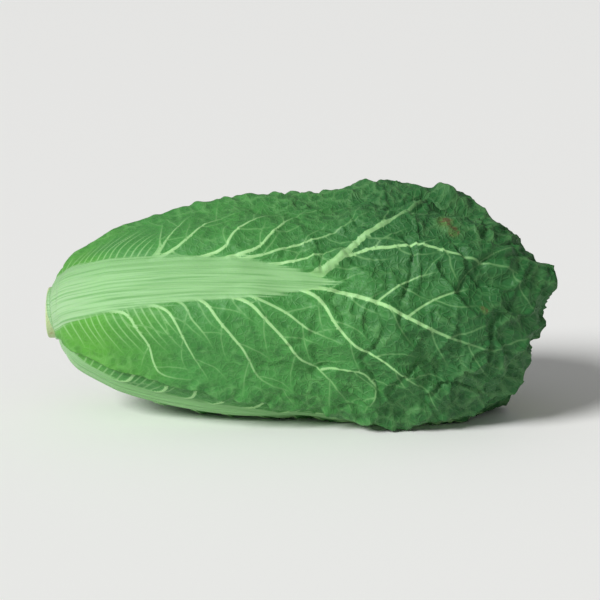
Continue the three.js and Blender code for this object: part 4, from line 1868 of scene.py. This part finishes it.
@dataclass
class WrapperLeaves:
    """The ten wrapper leaves, the outermost first in name and last in growth."""

    form: HeadForm
    outer_count: int = 4
    finest: tuple[int, int] = (280, 168)
    fine: tuple[int, int] = (270, 152)
    plain: tuple[int, int] = (200, 110)
    front_rib: Stations = (
        (0, 25), (30, 22.5), (60, 21), (150, 16), (180, 12), (200, 8.5), (218, 5), (236, 0), (400, 0),
    )
    front_rib_fade: float = 4.5
    front_bruises: tuple[Bruise, ...] = (
        Bruise(296, 48, radius=8.0), Bruise(302, 40, radius=6.0), Bruise(318, -12, radius=3.5),
    )

    def build(self) -> None:
        """Build and dress every wrapper leaf."""
        outer, inner = OUTER_LEAF.build(), INNER_LEAF.build()
        wrappers = [leaf for leaf in self.form.leaves if leaf.grown is Grown.WRAPPER]
        for number, leaf in enumerate(reversed(wrappers), start=1):
            shape = BladeShape(self.form, leaf, *self._grid(number))
            if number == 1:
                self._make_front_leaf(shape)
            name = f"{Grown.WRAPPER.value}_{number:02d}"
            piece = shape.build(name + "_dressed")
            dress(piece, name, outer if number <= self.outer_count else inner)

    def _grid(self, number: int) -> tuple[int, int]:
        """Steps along and across a leaf, the finer the further out it lies.

        Args:
            number: the leaf's number, 1 for the outermost.

        Returns:
            Steps along and across.
        """
        if number == 1:
            return self.finest
        return self.fine if number <= self.outer_count else self.plain

    def _make_front_leaf(self, shape: BladeShape) -> None:
        """Give the front leaf its own veins, folds, rib and bruises.

        Args:
            shape: the leaf's shape.
        """
        shape.courses = FRONT_LEAF_COURSES
        shape.folds = FRONT_LEAF_FOLDS
        shape.rib_half_width = self.front_rib
        shape.rib_fade = self.front_rib_fade
        shape.bruises = self.front_bruises


@dataclass
class Heart:
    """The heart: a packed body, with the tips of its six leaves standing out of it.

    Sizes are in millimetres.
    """

    form: HeadForm
    body_segments: int = 144
    body_rings: int = 150
    ring_places: Stations = ((0, 0), (0.3, 0.66), (1, 1))
    body_sink: float = 0.6
    pole: float = 1e-6
    foot_depth: float = 8.0
    roll_start: float = 270.0
    roll_full: float = 300.0
    roll_pitch: float = 15.0
    roll_arms: float = 2.0
    roll_step: float = 3.4
    roll_edge: float = 0.12
    ruffle_height: float = 2.6
    ruffle_folds: float = 7.0
    ruffle_twist: float = 0.3
    fine_ruffle_share: float = 0.6
    fine_ruffle_folds: float = 13.0
    fine_ruffle_twist: float = -0.2
    fine_ruffle_phase: float = 1.0
    crinkle_height: float = 0.25
    crinkle_folds: tuple[float, float] = (11.0, -5.0)
    crinkle_lengths: tuple[float, float] = (2.3, 3.1)
    tip_grid: tuple[int, int] = (84, 72)
    tip_sunk: float = 6.0
    tip_round: float = 6.0
    tip_side_frill: float = 0.8
    tip_frill: float = 0.9

    def build(self) -> None:
        """Build the body and the leaf tips, and join them into one piece."""
        pieces = [self._body()]
        for leaf in self.form.leaves[: self.form.heart_leaves]:
            shape = BladeShape(self.form, leaf, *self.tip_grid)
            shape.start = self.form.heart_leaf_start - self.tip_sunk
            shape.tip_round = self.tip_round
            shape.frill_depth = self.tip_side_frill
            shape.tip_frill = self.tip_frill
            pieces.append(shape.build(f"heart_leaf_{leaf.index + 1}"))
        bpy.ops.object.select_all(action="DESELECT")
        for piece in pieces:
            piece.select_set(True)
        bpy.context.view_layer.objects.active = pieces[0]
        bpy.ops.object.join()
        dress(bpy.context.active_object, Grown.HEART.value, HEART_LEAF.build())

    def _body(self) -> bpy.types.Object:
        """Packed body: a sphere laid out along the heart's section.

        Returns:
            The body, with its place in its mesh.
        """
        steps = {"segments": self.body_segments, "ring_count": self.body_rings}
        body = start_piece("heart_dressed", bpy.ops.mesh.primitive_uv_sphere_add, radius=1.0, **steps)
        x, y, z = points_of(body.data).T
        share = np.arccos(np.clip(-z, -1.0, 1.0)) / math.pi
        angle = np.arctan2(y, x)
        first = 1.0 / self.body_rings
        s = self.form.length * at(self.ring_places, np.clip((share - first) / (1.0 - first), 0.0, 1.0))
        places = self.form.point(s, angle, self._rolled(s, angle) - self.body_sink)
        places[share < first / 2.0] = (self.foot_depth, 0.0, 0.0)
        places[share > 1.0 - self.pole, 1:] = 0.0
        body.data.vertices.foreach_set("co", (places * MM + np.array(origin_of_head())).ravel())
        masks = {name: np.zeros(len(s)) for name in LEAF_MASKS}
        masks["along"] = s / self.form.length
        masks["rib_gap"] = masks["vein_gap"] = np.full(len(s), BladeShape.far_from_vein)
        around = angle * np.hypot(places[:, 1], places[:, 2])
        store_masks(body.data, masks, np.stack((s, around), axis=-1))
        bpy.ops.object.mode_set(mode="EDIT")
        bpy.ops.mesh.select_all(action="SELECT")
        bpy.ops.mesh.normals_make_consistent(inside=False)
        bpy.ops.object.mode_set(mode="OBJECT")
        bpy.ops.object.shade_smooth()
        return body

    def _rolled(self, s: Array, angle: Array) -> Array:
        """Steps of the innermost leaves, whose ruffled edges wind in towards the top.

        Args:
            s: distances along the section.
            angle: angles round the head.

        Returns:
            Heights in millimetres.
        """
        fine = self.fine_ruffle_folds * angle + self.fine_ruffle_twist * s + self.fine_ruffle_phase
        ruffle = np.sin(self.ruffle_folds * angle + self.ruffle_twist * s)
        ruffle = ruffle + self.fine_ruffle_share * np.sin(fine)
        turn = (s + self.ruffle_height * ruffle) / self.roll_pitch + self.roll_arms * angle / TURN
        step = 1.0 - np.mod(turn, 1.0)
        edge = step * ease(1.0 - step, 0.0, self.roll_edge)
        crinkle = np.full(s.shape, self.crinkle_height)
        for folds, length in zip(self.crinkle_folds, self.crinkle_lengths):
            crinkle = crinkle * np.sin(folds * angle + s / length)
        return self.roll_step * (edge - 1.0 + crinkle) * ease(s, self.roll_start, self.roll_full)


@dataclass
class Stem:
    """The stem: a knife-cut stub below the leaves, running to a point inside the heart.

    Sizes are in millimetres.
    """

    form: HeadForm
    sides: int = 96
    rim_inset: float = 1.6
    rim_bevel: float = 0.96
    rim_segments: int = 3
    sharp_angle: float = math.radians(35)
    pith_radius: float = 11.0
    ring_width: float = 2.2
    ring_depth: float = 0.5
    same_place: float = 0.01
    flat_share: float = 0.9

    def build(self) -> None:
        """Model the stub from a cylinder, shape its cut face and draw its inner end to a point."""
        low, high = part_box("stem")
        middle = (low + high) / 2.0
        shoulder = high.x - self.form.stem_depth * MM
        stem = start_piece(
            "stem_dressed",
            bpy.ops.mesh.primitive_cylinder_add,
            vertices=self.sides,
            radius=self.form.stem_radius * MM,
            depth=shoulder - low.x,
            location=((low.x + shoulder) / 2.0, middle.y, middle.z),
            rotation=(0.0, math.pi / 2.0, 0.0),
        )
        bpy.ops.object.transform_apply(location=True, rotation=True, scale=True)
        bpy.ops.object.mode_set(mode="EDIT")
        bpy.ops.mesh.select_mode(type="FACE")
        self._select_end(stem, shoulder)
        bpy.ops.mesh.extrude_region_move(TRANSFORM_OT_translate={"value": (high.x - shoulder, 0.0, 0.0)})
        bpy.ops.mesh.merge(type="CENTER")
        self._select_end(stem, low.x)
        to_pith = self.form.stem_radius - self.rim_inset - self.pith_radius
        bpy.ops.mesh.inset(thickness=self.rim_inset * MM, depth=0.0)
        bpy.ops.mesh.inset(thickness=to_pith * MM, depth=0.0)
        bpy.ops.mesh.inset(thickness=self.ring_width * MM, depth=-self.ring_depth * MM)
        bpy.ops.mesh.inset(thickness=self.ring_width * MM, depth=self.ring_depth * MM)
        bpy.ops.object.mode_set(mode="OBJECT")
        self._round_rim(stem)
        dress(stem, "stem", CutStemFinish().build(middle))

    def _select_end(self, stem: bpy.types.Object, x: float) -> None:
        """Select the end face that lies at a lengthwise place.

        Args:
            stem: the stem.
            x: the place, in metres.
        """
        bpy.ops.mesh.select_all(action="DESELECT")
        bpy.ops.object.mode_set(mode="OBJECT")
        for polygon in stem.data.polygons:
            there = abs(polygon.center.x - x) < self.same_place * MM
            if there and abs(polygon.normal.x) > self.flat_share:
                polygon.select = True
        bpy.ops.object.mode_set(mode="EDIT")

    def _round_rim(self, stem: bpy.types.Object) -> None:
        """Break the knife's sharp rim.

        Args:
            stem: the stem.
        """
        bevel = stem.modifiers.new("rim", "BEVEL")
        bevel.width = self.rim_bevel * MM
        bevel.segments = self.rim_segments
        bevel.limit_method = "ANGLE"
        bpy.context.view_layer.objects.active = stem
        bpy.ops.object.modifier_apply(modifier=bevel.name)
        bpy.ops.object.shade_smooth_by_angle(angle=self.sharp_angle)


@dataclass
class Studio:
    """Plain pale floor, soft light from above and in front, and the camera.

    Angles are in degrees, and lengths in metres apart from those of the lens and its sensor.
    """

    elevation: float = 11.5
    lens: float = 100.0
    sensor: float = 36.0
    fill_share: float = 0.87
    depth_share: float = 0.25
    floor_size: float = 60.0
    floor_colour: int = 0xF6F6F4
    floor_roughness: float = 0.8
    sky_colour: int = 0xFFFFFF
    sky_strength: float = 0.28
    key_from: tuple[float, float, float] = (-0.85, -0.8, 0.78)
    key_strength: float = 3.45
    key_softness: float = 22.0

    def build(self) -> None:
        """Set up the floor, the light and the camera."""
        self._floor()
        self._sky()
        self._key()
        self._camera()

    def _floor(self) -> None:
        """Lay the floor under the head."""
        floor = start_piece("floor", bpy.ops.mesh.primitive_plane_add, size=self.floor_size)
        material = bpy.data.materials.new("matt_white_floor")
        material.use_nodes = True
        shader = material.node_tree.nodes["Principled BSDF"]
        shader.inputs["Base Color"].default_value = linear(self.floor_colour)
        shader.inputs["Roughness"].default_value = self.floor_roughness
        floor.data.materials.append(material)
        floor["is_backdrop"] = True

    def _sky(self) -> None:
        """Even white light from all round."""
        world = bpy.data.worlds.new("studio")
        world.use_nodes = True
        background = world.node_tree.nodes["Background"]
        background.inputs["Color"].default_value = linear(self.sky_colour)
        background.inputs["Strength"].default_value = self.sky_strength
        bpy.context.scene.world = world

    def _key(self) -> None:
        """Hang one broad, far light whose shadows are soft and whose light is even over the floor."""
        light = bpy.data.lights.new("key", "SUN")
        light.energy = self.key_strength
        light.angle = math.radians(self.key_softness)
        lamp = bpy.data.objects.new("key", light)
        lamp.rotation_euler = (-Vector(self.key_from)).to_track_quat("-Z", "Y").to_euler()
        bpy.context.scene.collection.objects.link(lamp)

    def _camera(self) -> None:
        """Stand the camera in front of the head, a little above it."""
        low, high = (Vector(corner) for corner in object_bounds())
        middle = (low + high) / 2.0
        lens = bpy.data.cameras.new("camera")
        lens.lens = self.lens
        lens.sensor_width = self.sensor
        width = (high.x - low.x) / self.fill_share
        distance = width * self.lens / self.sensor + (high.y - low.y) * self.depth_share
        tilt = math.radians(self.elevation)
        camera = bpy.data.objects.new("camera", lens)
        camera.location = middle + Vector((0.0, -math.cos(tilt), math.sin(tilt))) * distance
        camera.rotation_euler = (math.pi / 2.0 - tilt, 0.0, 0.0)
        bpy.context.scene.collection.objects.link(camera)
        bpy.context.scene.camera = camera


def main() -> None:
    """Build the head piece by piece and light it."""
    logging.basicConfig(level=logging.INFO)
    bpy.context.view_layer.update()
    bpy.context.scene.view_settings.view_transform = "Standard"
    form = HeadForm()
    Studio().build()
    Stem(form).build()
    Heart(form).build()
    WrapperLeaves(form).build()


if __name__ == "__main__":
    main()
